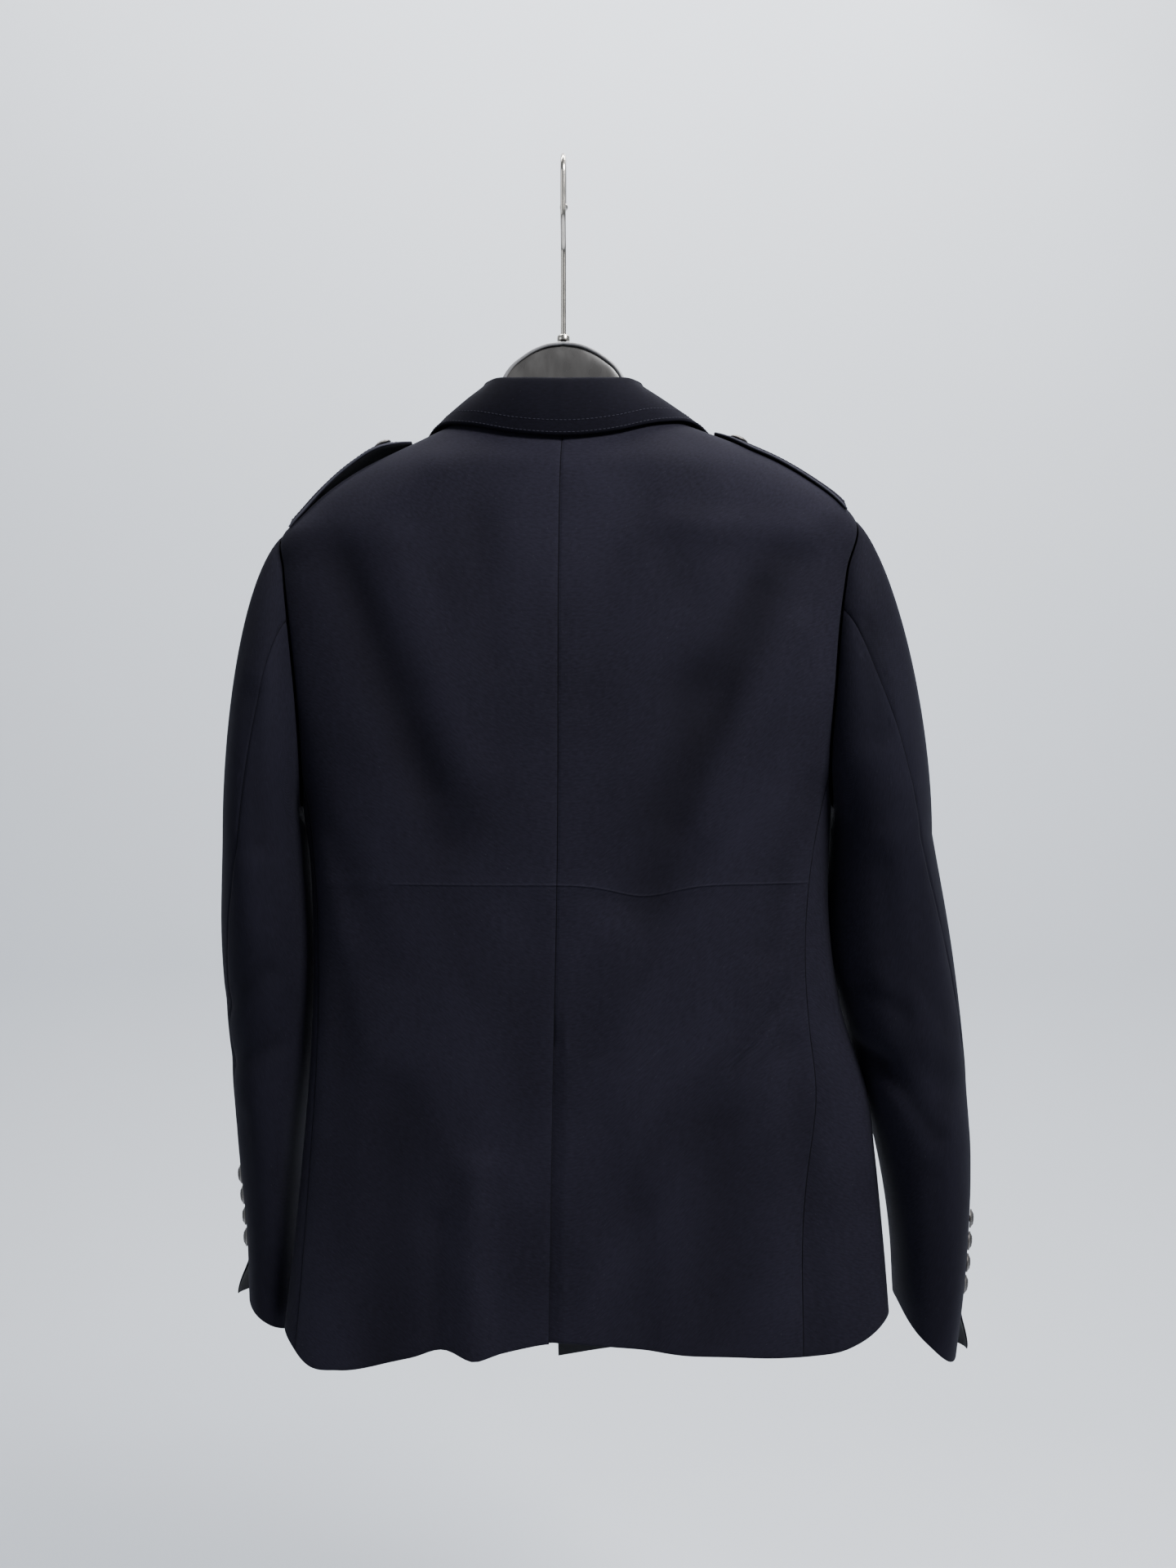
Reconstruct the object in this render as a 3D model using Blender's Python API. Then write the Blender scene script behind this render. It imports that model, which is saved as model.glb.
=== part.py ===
# A single-breasted blazer hanging on its hanger, in metres.
# The origin is the inner top of the hook. +X is the wearer's left, -Y the front, +Z up.
import math

import bmesh
import bpy
import numpy as np
from mathutils import Vector
from mathutils.bvhtree import BVHTree

# Cloth and seams
WALL = 0.002
GAP = 0.0003
LAYER = WALL + GAP
STAND_OFF = 0.0012

# Heights of the body, from the hook's inner top
NECK = -0.203
HEM = -0.930
VENT_TOP = -0.690
BREAK = -0.600

# Half widths of the body: height, distance from the middle
WIDTH = {
    1: ((-0.203, 0.0710), (-0.226, 0.1170), (-0.249, 0.1625), (-0.267, 0.1885), (-0.285, 0.2080),
        (-0.298, 0.2210), (-0.330, 0.2260), (-0.370, 0.2268), (-0.420, 0.2225), (-0.453, 0.2176),
        (-0.500, 0.2090), (-0.560, 0.2005), (-0.620, 0.1985), (-0.700, 0.2000), (-0.780, 0.2060),
        (-0.860, 0.2140), (-0.930, 0.2215)),
    -1: ((-0.203, 0.0720), (-0.219, 0.1170), (-0.241, 0.1690), (-0.260, 0.2015), (-0.272, 0.2180),
         (-0.285, 0.2300), (-0.330, 0.2315), (-0.370, 0.2300), (-0.420, 0.2265), (-0.490, 0.2150),
         (-0.530, 0.2115), (-0.600, 0.2105), (-0.672, 0.2200), (-0.743, 0.2415), (-0.792, 0.2475),
         (-0.860, 0.2535), (-0.930, 0.2585)),
}
# Section of the body: height, depth behind the middle, depth before it, squareness
SECTION = ((-0.203, 0.043, 0.034, 2.1), (-0.240, 0.057, 0.050, 2.2), (-0.300, 0.067, 0.064, 2.4),
           (-0.400, 0.073, 0.076, 2.5), (-0.500, 0.070, 0.074, 2.4), (-0.600, 0.064, 0.066, 2.3),
           (-0.700, 0.062, 0.060, 2.3), (-0.800, 0.060, 0.056, 2.3), (-0.930, 0.060, 0.052, 2.3))
# Hem: distance to the wearer's left, height
BACK_HEM = ((-0.259, -0.914), (-0.242, -0.925), (-0.224, -0.932), (-0.168, -0.935), (-0.100, -0.931),
            (-0.044, -0.923), (0.010, -0.920), (0.045, -0.927), (0.067, -0.932), (0.090, -0.926),
            (0.117, -0.934), (0.173, -0.947), (0.200, -0.946), (0.222, -0.926))
FRONT_HEM = {
    1: ((-0.050, -0.955), (0.030, -0.952), (0.120, -0.948), (0.190, -0.940), (0.222, -0.926)),
    -1: ((-0.259, -0.914), (-0.210, -0.938), (-0.100, -0.954), (-0.030, -0.963), (0.006, -0.969)),
}
NECK_DROP_BACK = 0.019
NECK_DROP_FRONT = 0.020
NECK_FADE = (-0.260, -0.203)
HEM_FADE = (-0.780, -0.930)
# Largest folds of the back: start and end across and up, half width, depth out of the back
BACK_FOLDS = ((0.175, -0.314, 0.089, -0.533, 0.024, -0.0045),
              (-0.165, -0.323, -0.106, -0.428, 0.026, -0.0045),
              (-0.106, -0.428, -0.063, -0.579, 0.026, -0.0050),
              (-0.080, -0.300, -0.185, -0.306, 0.014, 0.0030),
              (0.067, -0.790, 0.067, -0.950, 0.014, 0.0060),
              (-0.120, -0.760, -0.130, -0.940, 0.030, -0.0040),
              (0.125, -0.740, 0.135, -0.940, 0.028, -0.0040))

# Seams: centre back across, from its height
CENTRE_BACK = ((-0.203, 0.000), (-0.236, 0.001), (-0.573, 0.004), (-0.696, 0.0064), (-0.930, 0.010))
UNDERLAP = 0.034
# Side seams, as angles round the body from the centre back, from their height
SIDE_BACK = {1: ((-0.492, 75.0), (-0.600, 75.0), (-0.930, 70.0)),
             -1: ((-0.492, 75.0), (-0.530, 68.5), (-0.600, 62.0), (-0.680, 57.0), (-0.830, 45.0),
                  (-0.930, 43.0))}
SIDE_FRONT = {1: ((-0.492, 105.0), (-0.600, 108.0), (-0.930, 112.0)),
              -1: ((-0.492, 105.0), (-0.600, 110.0), (-0.930, 120.0))}

# Armholes: top and lowest height, half opening as an angle round the body
ARMHOLE = {1: (-0.297, -0.515), -1: (-0.285, -0.515)}
ARMHOLE_OPEN = 24.0
SEAM_TURN = 141.5
BACK_SEAM_TURN = 70.0
FRONT_SEAM_TURN = 110.0

# Fronts
CENTRE_FRONT_LEAN = -0.019
FRONT_OVERLAP = 0.024
ROLL_TOP = 0.062
DIVE = LAYER + 0.0005
DIVE_RUN = 0.010

# Lapels: place down the roll line from 0 to 1, width, drop of the outer edge
LAPEL = ((0.00, 0.070, 0.040), (0.10, 0.078, 0.034), (0.30, 0.070, 0.026), (0.60, 0.045, 0.014),
         (0.85, 0.018, 0.004), (1.00, 0.004, 0.000))
LAPEL_TOP = -0.250
LAPEL_FOOT = -0.585

# Collar: station from the centre back, fold line, then the outer edge's angle and height
COLLAR = ((0.00, 0.000, 0.0490, -0.1845, 0.0, -0.2150), (0.25, 0.034, 0.0440, -0.1830, 21.0, -0.2140),
          (0.50, 0.057, 0.0260, -0.1800, 52.0, -0.2140), (0.70, 0.066, 0.0000, -0.1830, 90.0, -0.2190),
          (0.85, 0.066, -0.0260, -0.2030, 122.0, -0.2340), (1.00, 0.057, -0.0530, -0.2380, 142.0, -0.2500))
# The collar's turn over its fold: outward and up from the fold line
COLLAR_TURN = ((-0.0074, -0.0070), (-0.0072, -0.0040), (-0.0048, -0.0006), (-0.0018, -0.0008),
               (0.0006, -0.0040))
COLLAR_LIFT = 0.0055
COLLAR_OVAL = (0.066, 0.049)
COLLAR_RIGHT_RISE = 0.0026
SHOULDER_STATION = 0.70
COLLAR_STATIONS = 24
STAND_STATIONS = 16

# Sleeves below the armhole: height, inner side, outer side, middle and half depth front to back
SLEEVE = {
    1: ((-0.535, 0.2065, 0.2699, -0.012, 0.072), (-0.620, 0.1990, 0.2734, -0.020, 0.068),
        (-0.700, 0.2005, 0.2704, -0.032, 0.063), (-0.790, 0.2120, 0.2650, -0.040, 0.057),
        (-0.870, 0.2150, 0.2605, -0.052, 0.053), (-0.928, 0.2150, 0.2600, -0.057, 0.051)),
    -1: ((-0.535, 0.2125, 0.2935, -0.014, 0.070), (-0.620, 0.2125, 0.3106, -0.020, 0.066),
         (-0.700, 0.2320, 0.3198, -0.018, 0.062), (-0.790, 0.2520, 0.3255, -0.016, 0.057),
         (-0.870, 0.2642, 0.3220, -0.020, 0.053), (-0.930, 0.2685, 0.3150, -0.024, 0.051)),
}
CUFF_SLANT = {1: 0.012, -1: -0.018}
CUFF_DROP = {1: 0.0, -1: 0.010}
# Sleeve seams round the sleeve, 0 outermost and 90 to the back: place down the sleeve, back, front
SLEEVE_SEAMS = {
    1: ((0.00, 70.0, -110.0), (0.15, 78.0, -112.0), (0.30, 73.0, -114.0), (0.42, 54.0, -120.0),
        (0.53, 42.0, -126.0), (0.65, 32.0, -132.0), (0.80, 16.0, -140.0), (1.00, 12.0, -145.0)),
    -1: ((0.00, 70.0, -110.0), (0.14, 71.0, -112.0), (0.30, 60.0, -114.0), (0.42, 45.0, -120.0),
         (0.55, 31.0, -126.0), (0.75, 16.0, -136.0), (1.00, 12.0, -145.0)),
}
CAP_SHARE = 0.30
CAP_ROWS = 6
SLEEVE_ROWS = 11
SLEEVE_LEAVE = 0.00045
SLEEVE_GAP = 0.0006
CUFF_FLARE = 0.011
CUFF_FLARE_FROM = 0.94
ELBOW_FOLD = {1: (-0.700, 0.0030), -1: (-0.725, 0.0060)}

# Shoulder straps: place from the sleeve to the point, half width, height off the cloth
STRAP = {
    1: ((0.00, 0.0235, 0.0030), (0.25, 0.0225, 0.0058), (0.55, 0.0215, 0.0096), (0.78, 0.0200, 0.0108),
        (0.90, 0.0110, 0.0074), (1.00, 0.0020, 0.0040)),
    -1: ((0.00, 0.0230, 0.0035), (0.25, 0.0225, 0.0038), (0.55, 0.0215, 0.0042), (0.78, 0.0200, 0.0042),
         (0.90, 0.0110, 0.0040), (1.00, 0.0020, 0.0038)),
}
STRAP_SPAN = {1: (0.2125, 0.1195), -1: (0.2200, 0.1195)}

STRAP_WALL = 0.0022
STRAP_BUTTON_AT = {1: 0.139, -1: 0.1375}

# Buttons
SMALL_BUTTON = 0.0074
FRONT_BUTTON = 0.0100
BUTTON_HEIGHT = 0.0040
BUTTON_SIDES = 12
FRONT_BUTTON_HEIGHTS = (-0.618, -0.722)
CUFF_BUTTONS = 4
CUFF_BUTTON_PLACES = {1: (0.812, 0.918), -1: (0.834, 0.919)}
CUFF_BUTTON_TURN = 2.0

# Hanger: distance out, top, height and half thickness
HANGER_NECK = ((0.000, -0.1440, 0.052, 0.0060), (0.015, -0.1465, 0.051, 0.0060),
               (0.030, -0.1540, 0.046, 0.0060), (0.046, -0.1700, 0.038, 0.0060),
               (0.054, -0.1870, 0.028, 0.0060), (0.062, -0.2030, 0.022, 0.0060))
HANGER_ARM_HEIGHT = 0.022
HANGER_ARM_HALF = ((0.06, 0.0045), (0.10, 0.0070), (0.14, 0.0120), (0.20, 0.0130))
HANGER_SIDES = 12
HANGER_SINK = 0.0007

# Hook
WIRE = 0.0022
RAIL_RADIUS = 0.0165
HOOK_SIDES = 8
HOOK_TIP = -0.030
HOOK_BALL = 0.0034
STEM_BEND = (-0.046, -0.074)
STEM_FOOT = -0.1437

# Finishes: colour, roughness, metallic
FINISH = {
    "cloth": ((0.011, 0.011, 0.020), 0.85, 0.0),
    "hanger": ((0.060, 0.058, 0.056), 0.45, 0.0),
    "wire": ((0.720, 0.690, 0.640), 0.22, 1.0),
    "button": ((0.420, 0.400, 0.380), 0.40, 1.0),
}


def smooth(table, at, column=1):
    """Smooth curve through one column of a table, read at values of its first column."""
    rows = np.array(sorted(table))
    key = rows[:, 0]
    value = rows[:, column]
    slope = np.gradient(value, key)
    at = np.clip(np.asarray(at, float), key[0], key[-1])
    i = np.clip(np.searchsorted(key, at) - 1, 0, len(key) - 2)
    step = key[i + 1] - key[i]
    t = (at - key[i]) / step
    start = (1 + 2 * t) * (1 - t) ** 2 * value[i] + t * (1 - t) ** 2 * step * slope[i]
    end = t * t * (3 - 2 * t) * value[i + 1] - t * t * (1 - t) * step * slope[i + 1]
    return start + end


def ramp(at, low, high):
    """Soft step from 0 at low to 1 at high."""
    t = np.clip((np.asarray(at, float) - low) / (high - low), 0, 1)
    return t * t * (3 - 2 * t)


def unit(vectors):
    """Vectors of length 1."""
    return vectors / np.maximum(np.linalg.norm(vectors, axis=-1, keepdims=True), 1e-12)


def back_folds(x, z):
    """How far the folds move the back out at a place across and up."""
    move = np.zeros(np.broadcast(x, z).shape)
    for x0, z0, x1, z1, reach, depth in BACK_FOLDS:
        run = (x1 - x0) ** 2 + (z1 - z0) ** 2
        along = np.clip(((x - x0) * (x1 - x0) + (z - z0) * (z1 - z0)) / run, 0, 1)
        away = np.hypot(x - x0 - along * (x1 - x0), z - z0 - along * (z1 - z0))
        move = move + depth * np.exp(-(away / reach) ** 2)
    return move


def half_width(height, right):
    """Half width at a height: the wearer's right side where right is true, else the left."""
    return np.where(right, smooth(WIDTH[-1], height), smooth(WIDTH[1], height))


def torso(angle, height, side):
    """Points and outward normals of the body, at angles from the centre back and nominal heights."""
    angle, height = np.broadcast_arrays(np.radians(angle), height)
    s, c = np.sin(angle), np.cos(angle)
    wide = half_width(height, s < 0)
    deep = np.where(c >= 0, smooth(SECTION, height, 1), smooth(SECTION, height, 2))
    power = smooth(SECTION, height, 3)
    across = np.sign(s) * np.abs(s) ** (2 / power)
    through = np.sign(c) * np.abs(c) ** (2 / power)
    x = wide * across
    y = deep * through
    drop = np.where(c >= 0, NECK_DROP_BACK * c * c, NECK_DROP_FRONT * np.abs(c))
    hem = np.where(c >= 0, smooth(BACK_HEM, x), smooth(FRONT_HEM[side], x))
    z = height - drop * ramp(height, *NECK_FADE) + (hem - HEM) * ramp(height, *HEM_FADE)
    y = y + back_folds(x, z) * ramp(c, 0.05, 0.45)
    nudge = 0.002
    wide_slope = (half_width(height + nudge, s < 0) - half_width(height - nudge, s < 0)) / (2 * nudge)
    column = np.where(c >= 0, 1, 2)
    above = np.where(column == 1, smooth(SECTION, height + nudge, 1), smooth(SECTION, height + nudge, 2))
    below = np.where(column == 1, smooth(SECTION, height - nudge, 1), smooth(SECTION, height - nudge, 2))
    deep_slope = (above - below) / (2 * nudge)
    out_x = np.sign(across) * np.abs(across) ** (power - 1) / wide
    out_y = np.sign(through) * np.abs(through) ** (power - 1) / deep
    out_z = -(np.abs(across) ** power * wide_slope / wide + np.abs(through) ** power * deep_slope / deep)
    return np.stack([x, y, z], -1), unit(np.stack([out_x, out_y, out_z], -1))


def back_angle(x, height):
    """Angle round the body of a place across the back."""
    share = np.minimum(np.abs(x) / half_width(height, x < 0), 1)
    return np.sign(x) * np.degrees(np.arcsin(share ** (smooth(SECTION, height, 3) / 2)))


def front_angle(x, height):
    """Angle round the body of a place across the front."""
    return np.where(x < 0, -180.0, 180.0) - back_angle(x, height)


def armhole(side, turn):
    """Angle and height of the armhole's edge: turn 0 at its top, 90 at its back, 180 underneath."""
    top, foot = ARMHOLE[side]
    turn = np.radians(turn)
    angle = side * (90 - ARMHOLE_OPEN * np.sin(turn))
    return angle, (top + foot) / 2 + (top - foot) / 2 * np.cos(turn)


def solid(name, points, faces, finish):
    """Object of one closed body with its faces outward."""
    mesh = bpy.data.meshes.new(name)
    shape = bmesh.new()
    corners = [shape.verts.new(p) for p in np.asarray(points, float).tolist()]
    for face in faces:
        shape.faces.new([corners[i] for i in face])
    bmesh.ops.recalc_face_normals(shape, faces=shape.faces)
    shape.to_mesh(mesh)
    shape.free()
    mesh.shade_smooth()
    mesh.set_sharp_from_angle(angle=math.radians(35))
    material = bpy.data.materials.new(name)
    material.use_nodes = True
    shader = material.node_tree.nodes["Principled BSDF"]
    colour, rough, metal = FINISH[finish]
    shader.inputs["Base Color"].default_value = (*colour, 1.0)
    shader.inputs["Roughness"].default_value = rough
    shader.inputs["Metallic"].default_value = metal
    mesh.materials.append(material)
    item = bpy.data.objects.new(name, mesh)
    bpy.context.scene.collection.objects.link(item)
    return item


def trim(points, gap):
    """The grid with its four borders drawn in square to themselves by half a seam gap."""
    trimmed = points.copy()
    for axis in (0, 1):
        source = np.moveaxis(points, axis, 0)
        target = np.moveaxis(trimmed, axis, 0)
        for border, inside in ((0, 1), (-1, -2)):
            seam = unit(np.gradient(source[border], axis=0))
            step = source[inside] - source[border]
            square = step - seam * np.sum(step * seam, -1, keepdims=True)
            target[border] += unit(square) * gap / 2
    return trimmed


def wall(name, points, normals, thick=WALL, gap=GAP):
    """Closed wall: a grid of outer points, and the same grid moved in by its thickness."""
    outer = trim(points, gap)
    inner = outer - normals * thick
    rows, columns = outer.shape[:2]
    index = np.arange(rows * columns).reshape(rows, columns)
    far = index + rows * columns
    faces = []
    for r in range(rows - 1):
        for c in range(columns - 1):
            faces.append((index[r, c], index[r, c + 1], index[r + 1, c + 1], index[r + 1, c]))
            faces.append((far[r, c], far[r + 1, c], far[r + 1, c + 1], far[r, c + 1]))
    rim = list(index[0, :]) + list(index[1:, -1]) + list(index[-1, -2::-1]) + list(index[-2:0:-1, 0])
    for a, b in zip(rim, rim[1:] + rim[:1]):
        faces.append((a, a + rows * columns, b + rows * columns, b))
    corners = np.concatenate([outer.reshape(-1, 3), inner.reshape(-1, 3)])
    return solid(name, corners, faces, "cloth")


def turns(*stops):
    """Evenly spaced turns between stops given as start, then end and count, and so on."""
    found = [float(stops[0])]
    for end, count in zip(stops[1::2], stops[2::2]):
        found += list(np.linspace(found[-1], end, count + 1)[1:])
    return np.array(found)


BACK_TURNS = turns(0, BACK_SEAM_TURN, 4, SEAM_TURN, 4)
FRONT_TURNS = turns(0, -FRONT_SEAM_TURN, 6, -SEAM_TURN, 2)
UNDER_TURNS = turns(SEAM_TURN, 180, 3, 360 - SEAM_TURN, 3)
SHOULDER_ROWS = 6
LOWER_ROWS = 12
PANEL_COLUMNS = 9


def panel_edge(side, hole_turns, seam):
    """Heights and edge angles down a panel's outer side: shoulder seam, armhole, side seam."""
    top = ARMHOLE[side][0]
    shoulder = np.linspace(NECK, top, SHOULDER_ROWS + 1)[:-1]
    hole_angle, hole_height = armhole(side, hole_turns)
    lower = np.linspace(hole_height[-1], HEM, LOWER_ROWS + 1)[1:]
    heights = np.concatenate([shoulder, hole_height, lower])
    edges = np.concatenate([np.full(SHOULDER_ROWS, 90.0 * side), hole_angle, side * smooth(seam, lower)])
    return heights, edges


def add_back(side):
    """Back panel of one side; the right one passes under the left below the vent's top."""
    heights, edges = panel_edge(side, BACK_TURNS, SIDE_BACK[side])
    middle = smooth(CENTRE_BACK, heights)
    if side > 0:
        share = np.linspace(0, 1, PANEL_COLUMNS)
        start = back_angle(middle, heights)
        angles = start[:, None] + (edges - start)[:, None] * share
        points, normals = torso(angles, heights[:, None], side)
        return wall("back_left", points, normals)
    lapped = heights < VENT_TOP - 0.02
    diving = ramp(heights, VENT_TOP + 0.03, VENT_TOP)
    first = back_angle(np.where(lapped, middle + UNDERLAP, middle), heights)
    second = back_angle(middle - np.where(lapped, 0.001, 0.004), heights)
    third = back_angle(middle - DIVE_RUN, heights)
    share = np.linspace(0, 1, PANEL_COLUMNS - 1)
    rest = third[:, None] + (edges - third)[:, None] * share
    angles = np.concatenate([first[:, None], second[:, None], rest], 1)
    points, normals = torso(angles, heights[:, None], side)
    points[:, :2] -= normals[:, :2] * (DIVE * diving)[:, None, None]
    return wall("back_right", points, normals)


def add_side(side):
    """Panel under the arm, between the two side seams."""
    hole_angle, hole_height = armhole(side, UNDER_TURNS)
    lower = np.linspace(hole_height[0], HEM, LOWER_ROWS + 1)[1:]
    share = np.linspace(0, 1, len(UNDER_TURNS))
    back = side * smooth(SIDE_BACK[side], lower)
    front = side * smooth(SIDE_FRONT[side], lower)
    angles = np.concatenate([hole_angle[None], back[:, None] + (front - back)[:, None] * share])
    heights = np.concatenate([hole_height[None], np.broadcast_to(lower[:, None], (LOWER_ROWS, len(share)))])
    points, normals = torso(angles, heights, side)
    return wall("side_left" if side > 0 else "side_right", points, normals)


def front_edge(side, heights):
    """Place across of a front's inner edge: straight below the break, the roll line above it."""
    centre = CENTRE_FRONT_LEAN * (NECK - heights) / (NECK - HEM)
    straight = centre - side * FRONT_OVERLAP
    at_break = CENTRE_FRONT_LEAN * (NECK - BREAK) / (NECK - HEM) - side * FRONT_OVERLAP
    share = (heights - BREAK) / (NECK - BREAK)
    return np.where(heights < BREAK, straight, at_break + share * (side * ROLL_TOP - at_break))


def front_dive(heights):
    """How far the right front is in where the left front laps over it, as a share."""
    overlap = front_edge(-1, heights) - front_edge(1, heights)
    return ramp(overlap, -0.034, -0.006)


def add_front(side):
    """Front panel of one side, from the side seam to its edge and roll line."""
    heights, edges = panel_edge(side, FRONT_TURNS, SIDE_FRONT[side])
    inner = front_edge(side, heights)
    if side > 0:
        share = np.linspace(0, 1, PANEL_COLUMNS)
        start = np.mod(front_angle(inner, heights), 360)
        angles = start[:, None] + (edges - start)[:, None] * share
        points, normals = torso(angles, heights[:, None], side)
        return wall("front_left", points, normals)
    second = np.minimum(inner - 0.004, front_edge(1, heights) - 0.001)
    third = second - DIVE_RUN
    places = [np.mod(front_angle(x, heights), 360) - 360 for x in (inner, second, third)]
    share = np.linspace(0, 1, PANEL_COLUMNS - 1)
    rest = places[2][:, None] + (edges - places[2])[:, None] * share
    angles = np.concatenate([places[0][:, None], places[1][:, None], rest], 1)
    points, normals = torso(angles, heights[:, None], side)
    points[:, :2] -= normals[:, :2] * (DIVE * front_dive(heights))[:, None, None]
    return wall("front_right", points, normals)


def add_lapel(side):
    """Lapel turned out over the front, from the roll line to its outer edge."""
    down = np.linspace(0, 1, 13)
    width = smooth(LAPEL, down)
    drop = smooth(LAPEL, down, 2)
    roll_height = LAPEL_TOP + (LAPEL_FOOT - LAPEL_TOP) * down
    start = front_edge(side, roll_height)
    if side < 0:
        start = np.minimum(start, front_edge(1, roll_height) - 0.0015)
    share = np.linspace(0, 1, 6)
    heights = roll_height[:, None] - drop[:, None] * share
    across = start[:, None] + side * width[:, None] * share
    points, normals = torso(front_angle(across, heights), heights, side)
    lift = LAYER + STAND_OFF + 0.002 * np.sin(np.pi * share) * (1 - down[:, None])
    if side < 0:
        near = ramp(front_edge(1, heights) - across, DIVE_RUN, 0.001)
        lift = lift - DIVE * near * front_dive(heights)
    points = points + normals * lift[..., None]
    return wall("lapel_left" if side > 0 else "lapel_right", points, normals)


def collar_line(stations):
    """Fold line, outer edge and outward direction of the collar at stations from -1 to 1."""
    way = np.sign(stations) + (stations == 0)
    place = np.abs(stations)
    fold = np.stack([way * smooth(COLLAR, place, 1), smooth(COLLAR, place, 2), smooth(COLLAR, place, 3)], -1)
    rise = np.where(way < 0, COLLAR_RIGHT_RISE, 0.0) * ramp(place, 0.0, 0.5)
    edge, edge_out = torso(way * smooth(COLLAR, place, 4), smooth(COLLAR, place, 5) + rise, 1)
    edge = edge + edge_out * COLLAR_LIFT
    across, through = COLLAR_OVAL
    outward = fold / np.array([across ** 2, through ** 2, np.inf])
    return fold, edge, unit(outward)


def grid_normals(points, outward_hint):
    """Normals of a grid from its own slopes, turned to the side of the hint."""
    normals = unit(np.cross(np.gradient(points, axis=0), np.gradient(points, axis=1)))
    flip = np.sign(np.sum(normals * outward_hint, -1, keepdims=True))
    return normals * np.where(flip == 0, 1, flip)


def collar_grid(stations):
    """Outer points of the collar: up inside the neck, over the fold and down to its edge."""
    fold, edge, outward = collar_line(stations)
    short = 1 - 0.65 * ramp(np.abs(stations), 0.7, 1.0)
    rows = []
    for out, up in COLLAR_TURN:
        leg = up * short if out < -0.005 else np.full(len(stations), up)
        rows.append(fold + outward * out + np.stack([leg * 0, leg * 0, leg], -1))
    last = rows[-1]
    for share in (0.3, 0.65, 1.0):
        bow = 0.0025 * math.sin(math.pi * share)
        rows.append(last + (edge - last) * share + outward * bow)
    return np.array(rows), outward


def add_collar():
    """Collar fall with its turn over the fold line."""
    stations = np.linspace(-1, 1, COLLAR_STATIONS + 1)
    points, outward = collar_grid(stations)
    normals = unit(np.cross(np.gradient(points, axis=1), np.gradient(points, axis=0)))
    if np.sum(normals[-1] * outward) < 0:
        normals = -normals
    return wall("collar", points, normals)


def add_stand():
    """Collar stand, from the neck seam up to the collar's inner edge."""
    end = STAND_STATIONS / COLLAR_STATIONS
    stations = np.linspace(-end, end, STAND_STATIONS + 1)
    collar_points, outward = collar_grid(stations)
    neck, _ = torso(stations / SHOULDER_STATION * 90.0, np.full(len(stations), NECK), 1)
    foot = neck - outward * WALL + np.array([0, 0, 2 * GAP])
    lean = unit(collar_points[0] - foot)
    drop = 3 * GAP + WALL * np.sqrt(1 - lean[:, 2:] ** 2)
    top = collar_points[0] - drop * np.array([0, 0, 1.0])
    rows = np.array([foot, (foot + top) / 2, top])
    normals = grid_normals(rows, -outward)
    return wall("collar_stand", rows, normals)


def shoulder_height(side, x):
    """Height of the shoulder ridge at a distance out."""
    heights = np.linspace(NECK, -0.32, 200)
    return np.interp(x, smooth(WIDTH[side], heights), heights)


def over_shoulder(side, x, y):
    """Points and normals of the cloth over the shoulder, at distances out and back."""
    height = shoulder_height(side, x)
    for _ in range(12):
        deep = np.where(y >= 0, smooth(SECTION, height, 1), smooth(SECTION, height, 2))
        power = smooth(SECTION, height, 3)
        narrow = (1 - np.minimum(np.abs(y) / deep, 0.95) ** power) ** (1 / power)
        height = shoulder_height(side, x / narrow)
    through = np.minimum(np.abs(y) / deep, 0.95)
    angle = np.degrees(np.arccos(through ** (power / 2)))
    angle = side * np.where(y >= 0, angle, 180 - angle)
    points, normals = torso(angle, height, side)
    return points, normals


def strap_points(side, share, across):
    """Points and normals on top of a shoulder strap, by place along it and across it."""
    start, tip = STRAP_SPAN[side]
    out = start + (tip - start) * share
    half = smooth(STRAP[side], share)
    lift = smooth(STRAP[side], share, 2)
    up = over_shoulder(side, out, np.zeros_like(out))[1]
    points, _ = over_shoulder(side, out, across * half)
    return points + up * lift[..., None], up


def add_strap(side):
    """Shoulder strap from the sleeve seam to its point by the collar."""
    share, across = np.meshgrid(np.array([0, 0.14, 0.28, 0.42, 0.56, 0.68, 0.78, 0.84, 0.90, 0.95, 1.0]),
                                np.array([-1.0, -0.5, 0.0, 0.5, 1.0]), indexing="ij")
    points, up = strap_points(side, share, across)
    return wall("epaulette_left" if side > 0 else "epaulette_right", points, up, STRAP_WALL)


def sleeve_ring(side, height):
    """Middle, half width, middle depth and half depth of a sleeve at heights."""
    inner = smooth(SLEEVE[side], height, 1)
    outer = smooth(SLEEVE[side], height, 2)
    return (inner + outer) / 2, (outer - inner) / 2, smooth(SLEEVE[side], height, 3), \
        smooth(SLEEVE[side], height, 4)


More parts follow.
